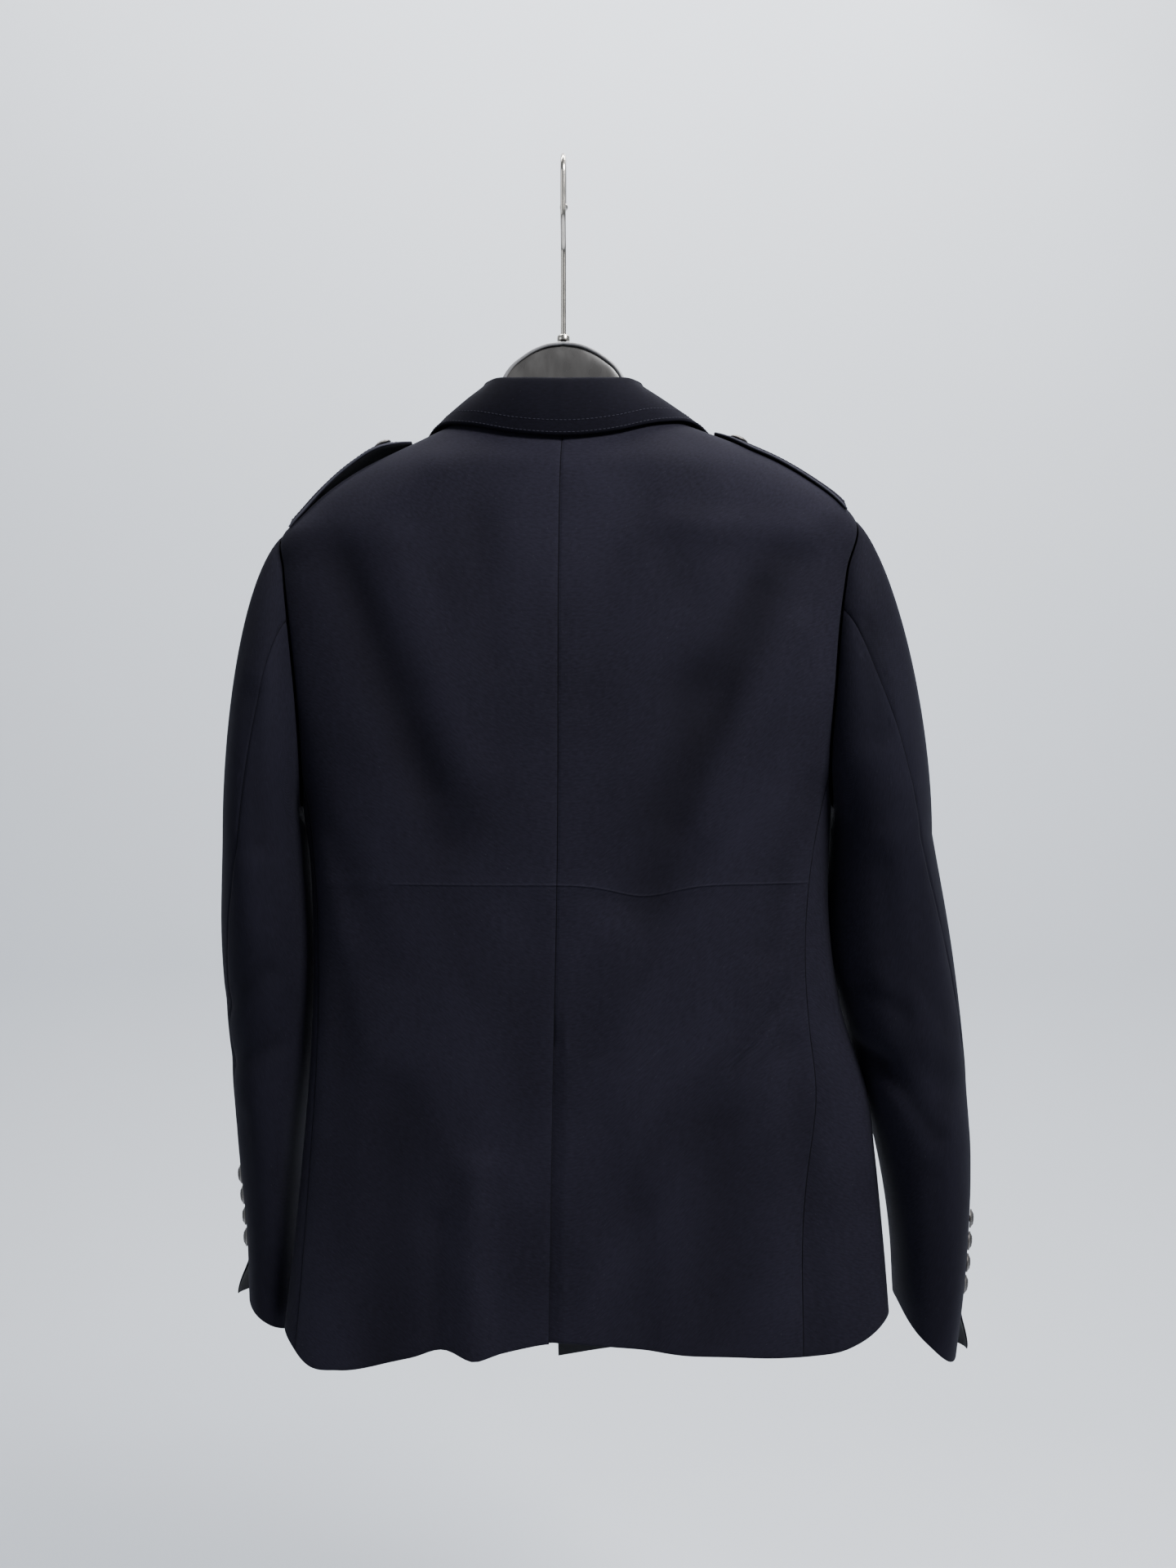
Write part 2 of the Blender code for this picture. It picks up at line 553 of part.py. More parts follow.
def sleeve_points(side, down, turn):
    """Points of a sleeve by place down it from 0 to 1, and turn round it."""
    table = SLEEVE[side]
    first, last = table[0][0], table[-1][0]
    lower = np.clip((down - CAP_SHARE) / (1 - CAP_SHARE), 0, 1)
    height = first + (last - first) * lower
    middle, half, depth, half_depth = sleeve_ring(side, height)
    around = np.radians(turn)
    x = middle + half * np.cos(around)
    y = depth + half_depth * np.sin(around)
    slant = CUFF_SLANT[side] * np.cos(around) * ramp(lower, 0.5, 1.0)
    slant = slant - CUFF_DROP[side] * ramp(np.sin(around), 0.0, 1.0) * ramp(lower, 0.6, 1.0)
    fold_height, fold_depth = ELBOW_FOLD[side]
    tilt = height - fold_height + 0.5 * (x - middle)
    fold = fold_depth * np.exp(-(tilt / 0.022) ** 2) * ramp(np.sin(around), -0.2, 0.7)
    below = np.stack([side * x, y - fold, height + slant], -1)
    angle, hole_height = armhole(side, turn)
    start, _ = torso(angle, hole_height, side)
    start = start + np.array([side * SLEEVE_LEAVE, 0, 0])
    top = (1 + np.cos(around)) / 2
    leave = np.stack([side * (0.004 + 0.024 * top), 0.030 * np.sin(around), -0.004 - 0.026 * top], -1)
    reach = np.stack([0 * top, 0 * top, 0.38 * (start[..., 2] - first)], -1)
    t = np.clip(down / CAP_SHARE, 0, 1)[..., None]
    cap = (1 - t) ** 3 * start + 3 * t * (1 - t) ** 2 * (start + leave) \
        + 3 * t * t * (1 - t) * (below + reach) + t ** 3 * below
    return np.where(t < 1, cap, below)


def sleeve_turn(side, down, share, panel):
    """Turn round the sleeve of a place across a panel: 'top' from front to back seam, 'under' onward."""
    back = smooth(SLEEVE_SEAMS[side], down, 1)
    front = smooth(SLEEVE_SEAMS[side], down, 2)
    if panel == "top":
        return front + (back - front) * share
    return back + (front + 360 - back) * share


def sleeve_grid(side):
    """The whole sleeve as rings, with the column where the under sleeve begins."""
    cap = np.linspace(0, CAP_SHARE, CAP_ROWS + 1)[:-1]
    down = np.concatenate([cap, np.linspace(CAP_SHARE, 1, SLEEVE_ROWS + 1)])[:, None]
    top_turns = np.concatenate([FRONT_TURNS[:7][::-1], BACK_TURNS[1:5]])
    under_turns = np.concatenate([BACK_TURNS[4:], UNDER_TURNS[1:], 360 + FRONT_TURNS[6:8][::-1]])
    top_share = (top_turns + FRONT_SEAM_TURN) / (FRONT_SEAM_TURN + BACK_SEAM_TURN)
    under_share = (under_turns - BACK_SEAM_TURN) / (360 - FRONT_SEAM_TURN - BACK_SEAM_TURN)
    turn = np.concatenate([sleeve_turn(side, down, top_share, "top"),
                           sleeve_turn(side, down, under_share[1:-1], "under")], 1)
    points = sleeve_points(side, down, turn)
    along = np.gradient(points, axis=0)
    around = np.roll(points, -1, axis=1) - np.roll(points, 1, axis=1)
    normals = unit(np.cross(around, along)) * -side
    return points, normals, down, len(top_share)


def add_sleeve(side):
    """Top sleeve and under sleeve, sewn at the back and front seams."""
    points, normals, down, seam = sleeve_grid(side)
    middle = points.mean(axis=1, keepdims=True)
    if np.sum((points - middle) * normals) < 0:
        normals = -normals
    word = "left" if side > 0 else "right"
    top = points[:, :seam].copy()
    flare = CUFF_FLARE * ramp(down, CUFF_FLARE_FROM, 1.0)
    top[:, -1] += normals[:, seam - 1] * flare
    wall("sleeve_top_" + word, top, normals[:, :seam], gap=SLEEVE_GAP)
    under = np.concatenate([points[:, seam - 1:], points[:, :1]], 1)
    under_normals = np.concatenate([normals[:, seam - 1:], normals[:, :1]], 1)
    wall("sleeve_under_" + word, under, under_normals, gap=SLEEVE_GAP)


def seat(panel, point, normal):
    """Place and normal of a panel's own surface under a point."""
    mesh = bpy.data.objects[panel].data
    corners = [tuple(v.co) for v in mesh.vertices]
    tree = BVHTree.FromPolygons(corners, [tuple(face.vertices) for face in mesh.polygons])
    way = Vector(normal.tolist()).normalized()
    place, facing, _, _ = tree.ray_cast(Vector(point.tolist()) + way * 0.01, -way)
    return np.array(place), np.array(facing)


def add_button(name, panel, point, normal, radius):
    """Domed button seated on a panel, with its axis along the panel's normal."""
    place, normal = seat(panel, point, normal)
    centre = place + normal * GAP
    side_way = unit(np.cross(normal, [0.0, 0.3, 1.0]))
    other = np.cross(normal, side_way)
    turn = np.linspace(0, 2 * np.pi, BUTTON_SIDES, endpoint=False)
    circle = np.cos(turn)[:, None] * side_way + np.sin(turn)[:, None] * other
    profile = ((1.0, 0.0), (1.0, 0.35), (0.62, 0.88))
    rings = [centre + circle * radius * r + normal * BUTTON_HEIGHT * h for r, h in profile]
    points = np.concatenate(rings + [[centre], [centre + normal * BUTTON_HEIGHT]])
    faces = []
    for i in range(BUTTON_SIDES):
        j = (i + 1) % BUTTON_SIDES
        for ring in range(2):
            low = ring * BUTTON_SIDES
            faces.append((low + i, low + j, low + BUTTON_SIDES + j, low + BUTTON_SIDES + i))
        faces.append((i, j, 3 * BUTTON_SIDES))
        faces.append((2 * BUTTON_SIDES + i, 2 * BUTTON_SIDES + j, 3 * BUTTON_SIDES + 1))
    return solid(name, points, faces, "button")


def add_buttons():
    """Front, shoulder strap and cuff buttons."""
    for row, height in enumerate(FRONT_BUTTON_HEIGHTS):
        height = np.array(height)
        centre_front = front_edge(1, height) + FRONT_OVERLAP
        point, normal = torso(front_angle(centre_front, height), height, 1)
        add_button(f"front_button_{row + 1}", "front_left", point, normal, FRONT_BUTTON)
    for side, word in ((1, "left"), (-1, "right")):
        start, tip = STRAP_SPAN[side]
        share = np.array((STRAP_BUTTON_AT[side] - start) / (tip - start))
        point, normal = strap_points(side, share, np.array(0.0))
        add_button(f"epaulette_button_{word}", f"epaulette_{word}", point, normal, SMALL_BUTTON)
        for row, down in enumerate(np.linspace(*CUFF_BUTTON_PLACES[side], CUFF_BUTTONS)):
            point = sleeve_points(side, np.array(down), np.array(CUFF_BUTTON_TURN))
            ahead = sleeve_points(side, np.array(down + 0.01), np.array(CUFF_BUTTON_TURN)) - point
            normal = np.cross(ahead, [0.0, 1.0, 0.0])
            normal = normal * np.sign(normal[0]) * side
            add_button(f"cuff_button_{word}_{row + 1}", f"sleeve_top_{word}", point, normal, SMALL_BUTTON)


def add_hanger():
    """Hanger: a rounded bar from one shoulder to the other, arched at the neck."""
    turn = np.linspace(0, 2 * np.pi, HANGER_SIDES, endpoint=False)
    sections = []
    for side in (-1, 1):
        arm = np.linspace(NECK, ARMHOLE[side][0], SHOULDER_ROWS + 1)[:-1]
        out = smooth(WIDTH[side], arm)
        ridge, normal = torso(np.full(len(arm), 90.0 * side), arm, side)
        under = (LAYER + HANGER_SINK) / normal[:, 2]
        rows = [(side * x, top, tall, half) for x, top, tall, half in HANGER_NECK if side > 0 or x > 0]
        rows += [(side * x, z - gap, HANGER_ARM_HEIGHT, half)
                 for x, z, gap, half in zip(out, ridge[:, 2], under, smooth(HANGER_ARM_HALF, out))]
        sections += rows
    sections.sort()
    points = []
    for x, top, tall, half in sections:
        for a in turn:
            points.append((x, half * math.sin(a), top - tall / 2 + tall / 2 * math.cos(a)))
    faces = []
    count = len(sections)
    for s in range(count - 1):
        for i in range(HANGER_SIDES):
            j = (i + 1) % HANGER_SIDES
            low, high = s * HANGER_SIDES, (s + 1) * HANGER_SIDES
            faces.append((low + i, low + j, high + j, high + i))
    faces.append(tuple(range(HANGER_SIDES)))
    faces.append(tuple(range((count - 1) * HANGER_SIDES, count * HANGER_SIDES)))
    return solid("hanger", points, faces, "hanger")


def add_hook():
    """Hook: round wire over the rail, down its near side and back to the hanger's middle."""
    bend = RAIL_RADIUS + WIRE
    path = [(-bend, HOOK_TIP), (-bend, HOOK_TIP + WIRE)]
    path += [(bend * -math.cos(a), -RAIL_RADIUS + bend * math.sin(a)) for a in np.linspace(0, math.pi, 13)]
    high, low = STEM_BEND
    path += [(bend * (1 - t * t * (3 - 2 * t)), high + (low - high) * t) for t in np.linspace(0, 1, 6)]
    path.append((0.0, STEM_FOOT))
    path = np.array(path)
    run = np.gradient(path, axis=0)
    run = run / np.linalg.norm(run, axis=1, keepdims=True)
    across = np.stack([run[:, 1], -run[:, 0]], 1)
    radii = np.full(len(path), WIRE)
    radii[0] = HOOK_BALL * 0.75
    radii[1] = HOOK_BALL
    points = []
    for (y, z), (ny, nz), r in zip(path, across, radii):
        for a in np.linspace(0, 2 * math.pi, HOOK_SIDES, endpoint=False):
            points.append((r * math.sin(a), y + r * ny * math.cos(a), z + r * nz * math.cos(a)))
    faces = []
    for s in range(len(path) - 1):
        for i in range(HOOK_SIDES):
            j = (i + 1) % HOOK_SIDES
            faces.append((s * HOOK_SIDES + i, s * HOOK_SIDES + j, (s + 1) * HOOK_SIDES + j,
                          (s + 1) * HOOK_SIDES + i))
    faces.append(tuple(range(HOOK_SIDES)))
    faces.append(tuple(range((len(path) - 1) * HOOK_SIDES, len(path) * HOOK_SIDES)))
    return solid("hook", points, faces, "wire")


def main():
    """Clears the scene and builds every piece."""
    for item in list(bpy.data.objects):
        bpy.data.objects.remove(item)
    for side in (1, -1):
        add_back(side)
        add_side(side)
        add_front(side)
        add_lapel(side)
        add_sleeve(side)
        add_strap(side)
    add_stand()
    add_collar()
    add_buttons()
    add_hanger()
    add_hook()


main()
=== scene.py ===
"""Looks of a navy blazer that hangs by its hanger's hook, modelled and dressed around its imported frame.

Lengths are metres. +X is the wearer's left, -Y the front, +Z up, and the origin is the hook's inner top.
"""
from __future__ import annotations

import logging
import math
from dataclasses import dataclass, field
from enum import Enum

import bpy
import numpy as np
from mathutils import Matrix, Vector


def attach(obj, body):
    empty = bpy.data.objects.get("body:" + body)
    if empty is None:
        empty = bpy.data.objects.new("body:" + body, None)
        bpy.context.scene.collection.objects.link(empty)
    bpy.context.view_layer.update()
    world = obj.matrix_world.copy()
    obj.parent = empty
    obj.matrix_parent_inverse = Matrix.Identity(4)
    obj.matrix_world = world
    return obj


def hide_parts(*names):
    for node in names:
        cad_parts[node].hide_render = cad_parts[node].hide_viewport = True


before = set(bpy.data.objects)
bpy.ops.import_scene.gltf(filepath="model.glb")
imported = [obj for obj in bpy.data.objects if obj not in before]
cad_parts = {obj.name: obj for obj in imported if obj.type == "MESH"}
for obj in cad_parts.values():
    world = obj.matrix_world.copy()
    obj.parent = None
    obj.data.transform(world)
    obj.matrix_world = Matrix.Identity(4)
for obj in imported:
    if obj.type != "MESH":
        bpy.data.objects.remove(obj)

Array = np.ndarray
Arrays = tuple[Array, Array]
Pair = tuple[float, float]
Triple = tuple[float, float, float]
Table = tuple[tuple[float, ...], ...]
Item = bpy.types.Object
Material = bpy.types.Material
Socket = bpy.types.NodeSocket
log = logging.getLogger("blazer")

GAP = 0.0003
WALL = 0.0020
LAYER = WALL + GAP
STAND_OFF = 0.0012
EDGE_STEPS = (0.0006, 0.0015, 0.0030, 0.0060)
FACING = (0.05, 0.40)
LEFT, RIGHT = 1, -1


class Border(Enum):
    """How a piece of cloth ends: sewn to the next piece, or folded on itself."""

    SEAM = "seam"
    FOLD = "fold"


def word(side: int) -> str:
    """Name of a side of the garment."""
    return "left" if side > 0 else "right"


def smooth(table: Table, at: Array | float, column: int = 1) -> Array:
    """Smooth curve through one column of a table.

    The curve is a cubic between rows, with each row's slope taken from its neighbours.

    Args:
        table: Rows whose first column is the key.
        at: Keys to read the curve at.
        column: Which column to read.

    Returns:
        Values at those keys.
    """
    rows = np.array(sorted(table))
    key, value = rows[:, 0], rows[:, column]
    slope = np.gradient(value, key)
    at = np.clip(np.asarray(at, float), key[0], key[-1])
    i = np.clip(np.searchsorted(key, at) - 1, 0, len(key) - 2)
    step = key[i + 1] - key[i]
    t = (at - key[i]) / step
    start = (1 + 2 * t) * (1 - t) ** 2 * value[i] + t * (1 - t) ** 2 * step * slope[i]
    end = t * t * (3 - 2 * t) * value[i + 1] - t * t * (1 - t) * step * slope[i + 1]
    return start + end


def ramp(at: Array | float, low: float, high: float) -> Array:
    """Soft step: 3t^2 - 2t^3, from 0 at low to 1 at high."""
    t = np.clip((np.asarray(at, float) - low) / (high - low), 0, 1)
    return t * t * (3 - 2 * t)


def unit(vectors: Array) -> Array:
    """Vectors scaled to length 1."""
    return vectors / np.maximum(np.linalg.norm(vectors, axis=-1, keepdims=True), 1e-12)


def troughs(x: Array, z: Array, rows: Table) -> Array:
    """Sum of soft folds, each a bell across its line: depth * exp(-(distance / reach)^2).

    Args:
        x: Places across.
        z: Places up.
        rows: Start and end across and up, reach, then height out of the cloth.

    Returns:
        How far each place is moved out.
    """
    move = np.zeros(np.broadcast(x, z).shape)
    for x0, z0, x1, z1, reach, depth in rows:
        run = (x1 - x0) ** 2 + (z1 - z0) ** 2
        along = np.clip(((x - x0) * (x1 - x0) + (z - z0) * (z1 - z0)) / run, 0, 1)
        away = np.hypot(x - x0 - along * (x1 - x0), z - z0 - along * (z1 - z0))
        move = move + depth * np.exp(-(away / reach) ** 2)
    return move


def grid_faces(rows: int, columns: int, wrap: bool = False) -> Array:
    """Corner numbers of a grid's quads.

    Args:
        rows: Lines down the grid.
        columns: Points in each line.
        wrap: Whether the last column meets the first.

    Returns:
        Four corner numbers to a face.
    """
    index = np.arange(rows * columns).reshape(rows, columns)
    if wrap:
        index = np.concatenate([index, index[:, :1]], 1)
    return np.stack([index[:-1, :-1], index[:-1, 1:], index[1:, 1:], index[1:, :-1]], -1).reshape(-1, 4)


def lengths(points: Array, axis: int) -> Array:
    """Running length of a grid's lines: the sum of the steps so far.

    Args:
        points: The grid.
        axis: 0 down its rows, 1 across its columns.

    Returns:
        Distance of each point from its line's start.
    """
    steps = np.linalg.norm(np.diff(points, axis=axis), axis=-1)
    start = np.zeros_like(np.take(steps, [0], axis=axis))
    return np.concatenate([start, np.cumsum(steps, axis=axis)], axis=axis)


def grid_area(points: Array) -> float:
    """Area of a grid: half the length of the cross product of each cell's diagonals, summed.

    Args:
        points: The grid.

    Returns:
        Square metres.
    """
    one = points[1:, 1:] - points[:-1, :-1]
    two = points[1:, :-1] - points[:-1, 1:]
    return float(np.linalg.norm(np.cross(one, two), axis=-1).sum() / 2)


def close_ends(count: int, ends: tuple[bool, bool], width: float) -> Array:
    """Even shares from 0 to 1, with closer ones near the ends that need an edge's shape.

    Args:
        count: How many even shares.
        ends: Whether the start and the end get closer ones.
        width: Length in metres that the shares stand for.

    Returns:
        The shares.
    """
    near = np.array(EDGE_STEPS) / width
    parts = [np.linspace(0, 1, count)]
    if ends[0]:
        parts.append(near)
    if ends[1]:
        parts.append(1 - near)
    shares = np.unique(np.round(np.concatenate(parts), 7))
    keep = np.concatenate([[True], np.diff(shares) > 1e-4])
    return shares[keep]


class Value:
    """A shader socket that takes part in Python expressions; each one adds a Math node."""

    def __init__(self, graph: "Graph", socket: Socket) -> None:
        """Keeps the graph and the socket."""
        self.graph = graph
        self.socket = socket

    def math(self, operation: str, *others: "Value | float", swap: bool = False) -> "Value":
        """Adds a Math node.

        Args:
            operation: What it works out.
            others: What follows this value.
            swap: Whether the first two change places.

        Returns:
            The node's result.
        """
        terms = [self, *others]
        if swap:
            terms = [terms[1], terms[0]]
        node = self.graph.node("ShaderNodeMath", {"operation": operation}, dict(enumerate(terms)))
        return Value(self.graph, node.outputs[0])

    def __add__(self, other: "Value | float") -> "Value":
        """Sum."""
        return self.math("ADD", other)

    def __sub__(self, other: "Value | float") -> "Value":
        """Difference."""
        return self.math("SUBTRACT", other)

    def __rsub__(self, other: float) -> "Value":
        """Difference from a number."""
        return self.math("SUBTRACT", other, swap=True)

    def __mul__(self, other: "Value | float") -> "Value":
        """Product."""
        return self.math("MULTIPLY", other)

    def __truediv__(self, other: "Value | float") -> "Value":
        """Quotient."""
        return self.math("DIVIDE", other)

    def __rtruediv__(self, other: float) -> "Value":
        """A number divided by this."""
        return self.math("DIVIDE", other, swap=True)

    def __pow__(self, other: "Value | float") -> "Value":
        """Power."""
        return self.math("POWER", other)

    def __rpow__(self, other: float) -> "Value":
        """A number raised to this."""
        return self.math("POWER", other, swap=True)

    def __neg__(self) -> "Value":
        """Opposite."""
        return self * -1.0

    __radd__ = __add__
    __rmul__ = __mul__

    def bell(self, reach: float) -> "Value":
        """exp(-(value / reach)^2): 1 at zero, fading over the reach."""
        scaled = self / reach
        return math.e ** -(scaled * scaled)

    def step(self, low: float, high: float) -> "Value":
        """Soft step.

        Args:
            low: Where it is 0.
            high: Where it is 1.

        Returns:
            The step.
        """
        node = self.graph.node("ShaderNodeMapRange", {"interpolation_type": "SMOOTHSTEP"},
                               {"Value": self, "From Min": low, "From Max": high})
        return Value(self.graph, node.outputs[0])


class Graph:
    """A material's nodes, with the shader and the coordinates that its finish reads."""

    def __init__(self, name: str) -> None:
        """Starts a material with only its Principled shader and output.

        Args:
            name: The material's name.
        """
        self.material = bpy.data.materials.new(name)
        self.material.use_nodes = True
        self.tree = self.material.node_tree
        self.shader = self.tree.nodes["Principled BSDF"]

    def node(self, kind: str, settings: dict | None = None, values: dict | None = None) -> bpy.types.Node:
        """Adds one node.

        Args:
            kind: The node's type.
            settings: Properties to set first; "stops" gives a ramp's places and colours.
            values: Numbers, colours, sockets or Values, by input name or number.

        Returns:
            The node.
        """
        node = self.tree.nodes.new(kind)
        for key, value in (settings or {}).items():
            if key == "stops":
                ramp_stops = node.color_ramp.elements
                while len(ramp_stops) < len(value):
                    ramp_stops.new(1.0)
                for stop, (place, colour) in zip(ramp_stops, value):
                    stop.position = place
                    stop.color = colour
            else:
                setattr(node, key, value)
        self.feed(node, values or {})
        return node

    def feed(self, node: bpy.types.Node, values: dict) -> None:
        """Sets or links a node's inputs.

        Args:
            node: The node.
            values: Numbers, colours, sockets or Values, by input name or number.
        """
        for key, value in values.items():
            if isinstance(value, Value):
                value = value.socket
            if isinstance(value, Socket):
                self.tree.links.new(value, node.inputs[key])
            else:
                node.inputs[key].default_value = value

    def parts(self, vector: Socket) -> list[Value]:
        """A vector's three parts."""
        node = self.node("ShaderNodeSeparateXYZ", values={0: vector})
        return [Value(self, part) for part in node.outputs]

    def place(self) -> Socket:
        """Object coordinates."""
        return self.node("ShaderNodeTexCoord").outputs["Object"]

    def map(self, name: str) -> Socket:
        """What a piece keeps in one of its maps: "cloth", "seam" or "hollow", the last one for painted
        shade.
        """
        return self.node("ShaderNodeUVMap", {"uv_map": name}).outputs[0]

    def noise(self, vector: Socket, scale: Triple,
              detail: float = 2.0) -> Value:
        """Noise between 0 and 1.

        Args:
            vector: Coordinates.
            scale: How much they are stretched along each axis.
            detail: Octaves added to the noise.

        Returns:
            The noise.
        """
        stretched = self.node("ShaderNodeMapping", values={"Vector": vector, "Scale": scale}).outputs[0]
        node = self.node("ShaderNodeTexNoise", values={"Vector": stretched, "Scale": 1.0, "Detail": detail})
        return Value(self, node.outputs[0])

    def mix(self, share: Value | float, one: tuple[float, ...] | Socket,
            two: tuple[float, ...] | Socket) -> Socket:
        """Colour between two colours.

        Args:
            share: How much of the second one.
            one: First colour.
            two: Second colour.

        Returns:
            The mixed colour.
        """
        node = self.node("ShaderNodeMix", {"data_type": "RGBA"}, {0: share, 6: one, 7: two})
        return node.outputs[2]

    def bump(self, height: Value, distance: float, strength: float = 1.0) -> Socket:
        """Normal of a height that varies over the surface.

        Args:
            height: The height.
            distance: How far it reaches, in metres.
            strength: How much of it is used.

        Returns:
            The normal.
        """
        node = self.node("ShaderNodeBump",
                         values={"Height": height, "Distance": distance, "Strength": strength})
        return node.outputs[0]


def rgba(colour: Triple, gain: float = 1.0) -> tuple[float, float, float, float]:
    """A colour with its brightness scaled and full alpha."""
    return (colour[0] * gain, colour[1] * gain, colour[2] * gain, 1.0)


@dataclass(frozen=True)
class WoolFinish:
    """Fine navy wool twill, matte, with a slight cross grain, a little lint and a soft nap."""

    name: str = "wool"
    colour: Triple = (0.0093, 0.0087, 0.0145)
    lint: Triple = (0.05, 0.05, 0.058)
    pitch: float = 0.0009
    grain_scale: Triple = (260.0, 2600.0, 1.0)
    slub_scale: Triple = (240.0, 640.0, 1.0)
    broad_scale: Triple = (9.0, 7.0, 1.0)
    fuzz_scale: Triple = (5200.0, 5200.0, 1.0)
    lint_scale: Triple = (620.0, 620.0, 1.0)
    weights: tuple[float, float, float, float] = (0.26, 0.36, 0.38, 0.05)
    tone_range: Pair = (0.28, 0.72)
    gains: Pair = (0.58, 1.50)
    lint_range: Pair = (0.80, 0.86)
    lint_share: float = 0.20
    shade_gain: float = 0.12
    seam_line: Pair = (0.0001, 0.0006)
    # Reach of the painted shade along folded edges.
    fold_edge_shade_reach: float = 0.0022
    # Depths over which hollows darken the cloth as painted shade.
    fold_shade_depths: Pair = (-0.0030, 0.0085)
    # Shares of painted shade along folded edges, the hollow level taken off first, and painted shade in
    # hollows.
    shares: Triple = (0.18, 0.18, 0.55)
    relief: Triple = (0.20, 0.55, 0.25)
    crease: bool = False
    crease_height: float = 9.0

    def material(self) -> Material:
        """Twill lines at 45 degrees, cross grain and broad shading on the cloth's own coordinates.

        The cloth darkens in its seams, and painted shade darkens it along its folded edges and in its
        hollows.

        Returns:
            The material.
        """
        g = Graph(self.name)
        vector = g.map("cloth")
        across, down, _ = g.parts(vector)
        twill = ((across + down) * (2 * math.pi / self.pitch)).math("SINE")
        grain = g.noise(vector, self.grain_scale, 3.0)
        slub = g.noise(vector, self.slub_scale, 3.0)
        broad = g.noise(vector, self.broad_scale, 3.0)
        fuzz = g.noise(vector, self.fuzz_scale, 2.0)
        lint = g.noise(vector, self.lint_scale, 0.0).step(*self.lint_range)
        fine, thick, wide, lines = self.weights
        tone = grain * fine + slub * thick + broad * wide + twill * lines
        dark, light = self.gains
        base = g.mix(tone.step(*self.tone_range), rgba(self.colour, dark), rgba(self.colour, light))
        base = g.mix(lint * self.lint_share, base, rgba(self.lint))
        seam, fold, _ = g.parts(g.map("seam"))
        # Painted shade: deeper hollows darken the cloth.
        hollow = (0.0 - g.parts(g.map("hollow"))[0]).step(*self.fold_shade_depths)
        pressed = 1.0 - (seam.step(*self.seam_line) * 0.9 + 0.1)
        # Painted shade along folded edges and in hollows; the seams darken as dark joints.
        edge, flat, deep = self.shares
        shade = pressed + fold.bell(self.fold_edge_shade_reach) * edge + (hollow - flat) * deep
        base = g.mix(shade, base, rgba(self.colour, self.shade_gain))
        height = twill * self.relief[0] + grain * self.relief[1] + fuzz * self.relief[2]
        if self.crease:
            height = height + self.creases(g) * self.crease_height
        g.feed(g.shader, {"Base Color": base, "Roughness": 0.78 + 0.14 * grain,
                          "Normal": g.bump(height, 0.00010, 0.75), "Sheen Weight": 0.02,
                          "Sheen Roughness": 0.45, "Sheen Tint": (0.55, 0.56, 0.72, 1.0),
                          "Specular IOR Level": 0.06})
        return g.material

    def creases(self, g: Graph) -> Value:
        """Pressed lines left by packing: a level one that dips at its middle, and a short slanting one.

        Args:
            g: The material's graph.

        Returns:
            Height of the lines, as a share.
        """
        x, y, z = g.parts(g.place())
        dip = (x + 0.062).bell(0.030) * 0.0085
        level = (z + 0.5722 + dip).bell(0.0008) * (1.0 - (x + 0.030).math("ABSOLUTE").step(0.145, 0.172))
        slant = ((z + 0.690) - (x + 0.1475) * -1.15).bell(0.0022) * (z + 0.690).bell(0.026)
        return (level * 0.8 + slant * 1.0) * y.step(0.0, 0.02)


@dataclass(frozen=True)
class LiningFinish:
    """Smooth dark lining with a weak gloss."""

    name: str = "lining"
    colour: Triple = (0.0045, 0.0045, 0.0072)
    pitch: float = 0.0008

    def material(self) -> Material:
        """Fine satin lines across the cloth under an even colour.

        Returns:
            The material.
        """
        g = Graph(self.name)
        vector = g.map("cloth")
        lines = (g.parts(vector)[1] * (2 * math.pi / self.pitch)).math("SINE")
        cloud = g.noise(vector, (30.0, 12.0, 1.0), 2.0)
        base = g.mix(cloud, rgba(self.colour, 0.75), rgba(self.colour, 1.35))
        g.feed(g.shader, {"Base Color": base, "Roughness": 0.46 + 0.12 * cloud,
                          "Normal": g.bump(lines * 0.5 + cloud, 0.00008, 0.6), "Specular IOR Level": 0.2})
        return g.material


@dataclass(frozen=True)
class ThreadFinish:
    """Twisted sewing thread."""

    name: str = "thread"
    colour: Triple = (0.0190, 0.0185, 0.0290)
    pitch: float = 0.0005

    def material(self) -> Material:
        """Slanting plies as a fine bump and a slight change of tone.

        Returns:
            The material.
        """
        g = Graph(self.name)
        vector = g.place()
        x, y, z = g.parts(vector)
        ply = ((x + y + z) * (2 * math.pi / self.pitch)).math("SINE")
        fibre = g.noise(vector, (3000.0, 3000.0, 3000.0))
        base = g.mix(fibre, rgba(self.colour, 0.7), rgba(self.colour, 1.5))
        g.feed(g.shader, {"Base Color": base, "Roughness": 0.70 + 0.12 * fibre, "Specular IOR Level": 0.2,
                          "Normal": g.bump(ply * 0.5 + fibre, 0.00008, 0.7)})
        return g.material


@dataclass(frozen=True)
class PlasticFinish:
    """Dark grey moulded plastic, semi-gloss, with faint scuffs."""

    name: str = "moulded"
    colour: Triple = (0.052, 0.050, 0.049)

    def material(self) -> Material:
        """Fine mould texture and handling marks.

        Returns:
            The material.
        """
        g = Graph(self.name)
        vector = g.place()
        fine = g.noise(vector, (1400.0, 1400.0, 1400.0), 2.0)
        marks = g.noise(vector, (60.0, 240.0, 22.0), 4.0)
        base = g.mix(marks.step(0.35, 0.75), rgba(self.colour, 0.82), rgba(self.colour, 1.22))
        g.feed(g.shader, {"Base Color": base, "Roughness": 0.27 + 0.20 * marks.step(0.4, 0.8),
                          "Normal": g.bump(fine * 0.6 + marks * 0.4, 0.00005, 0.5),
                          "Specular IOR Level": 0.5})
        return g.material


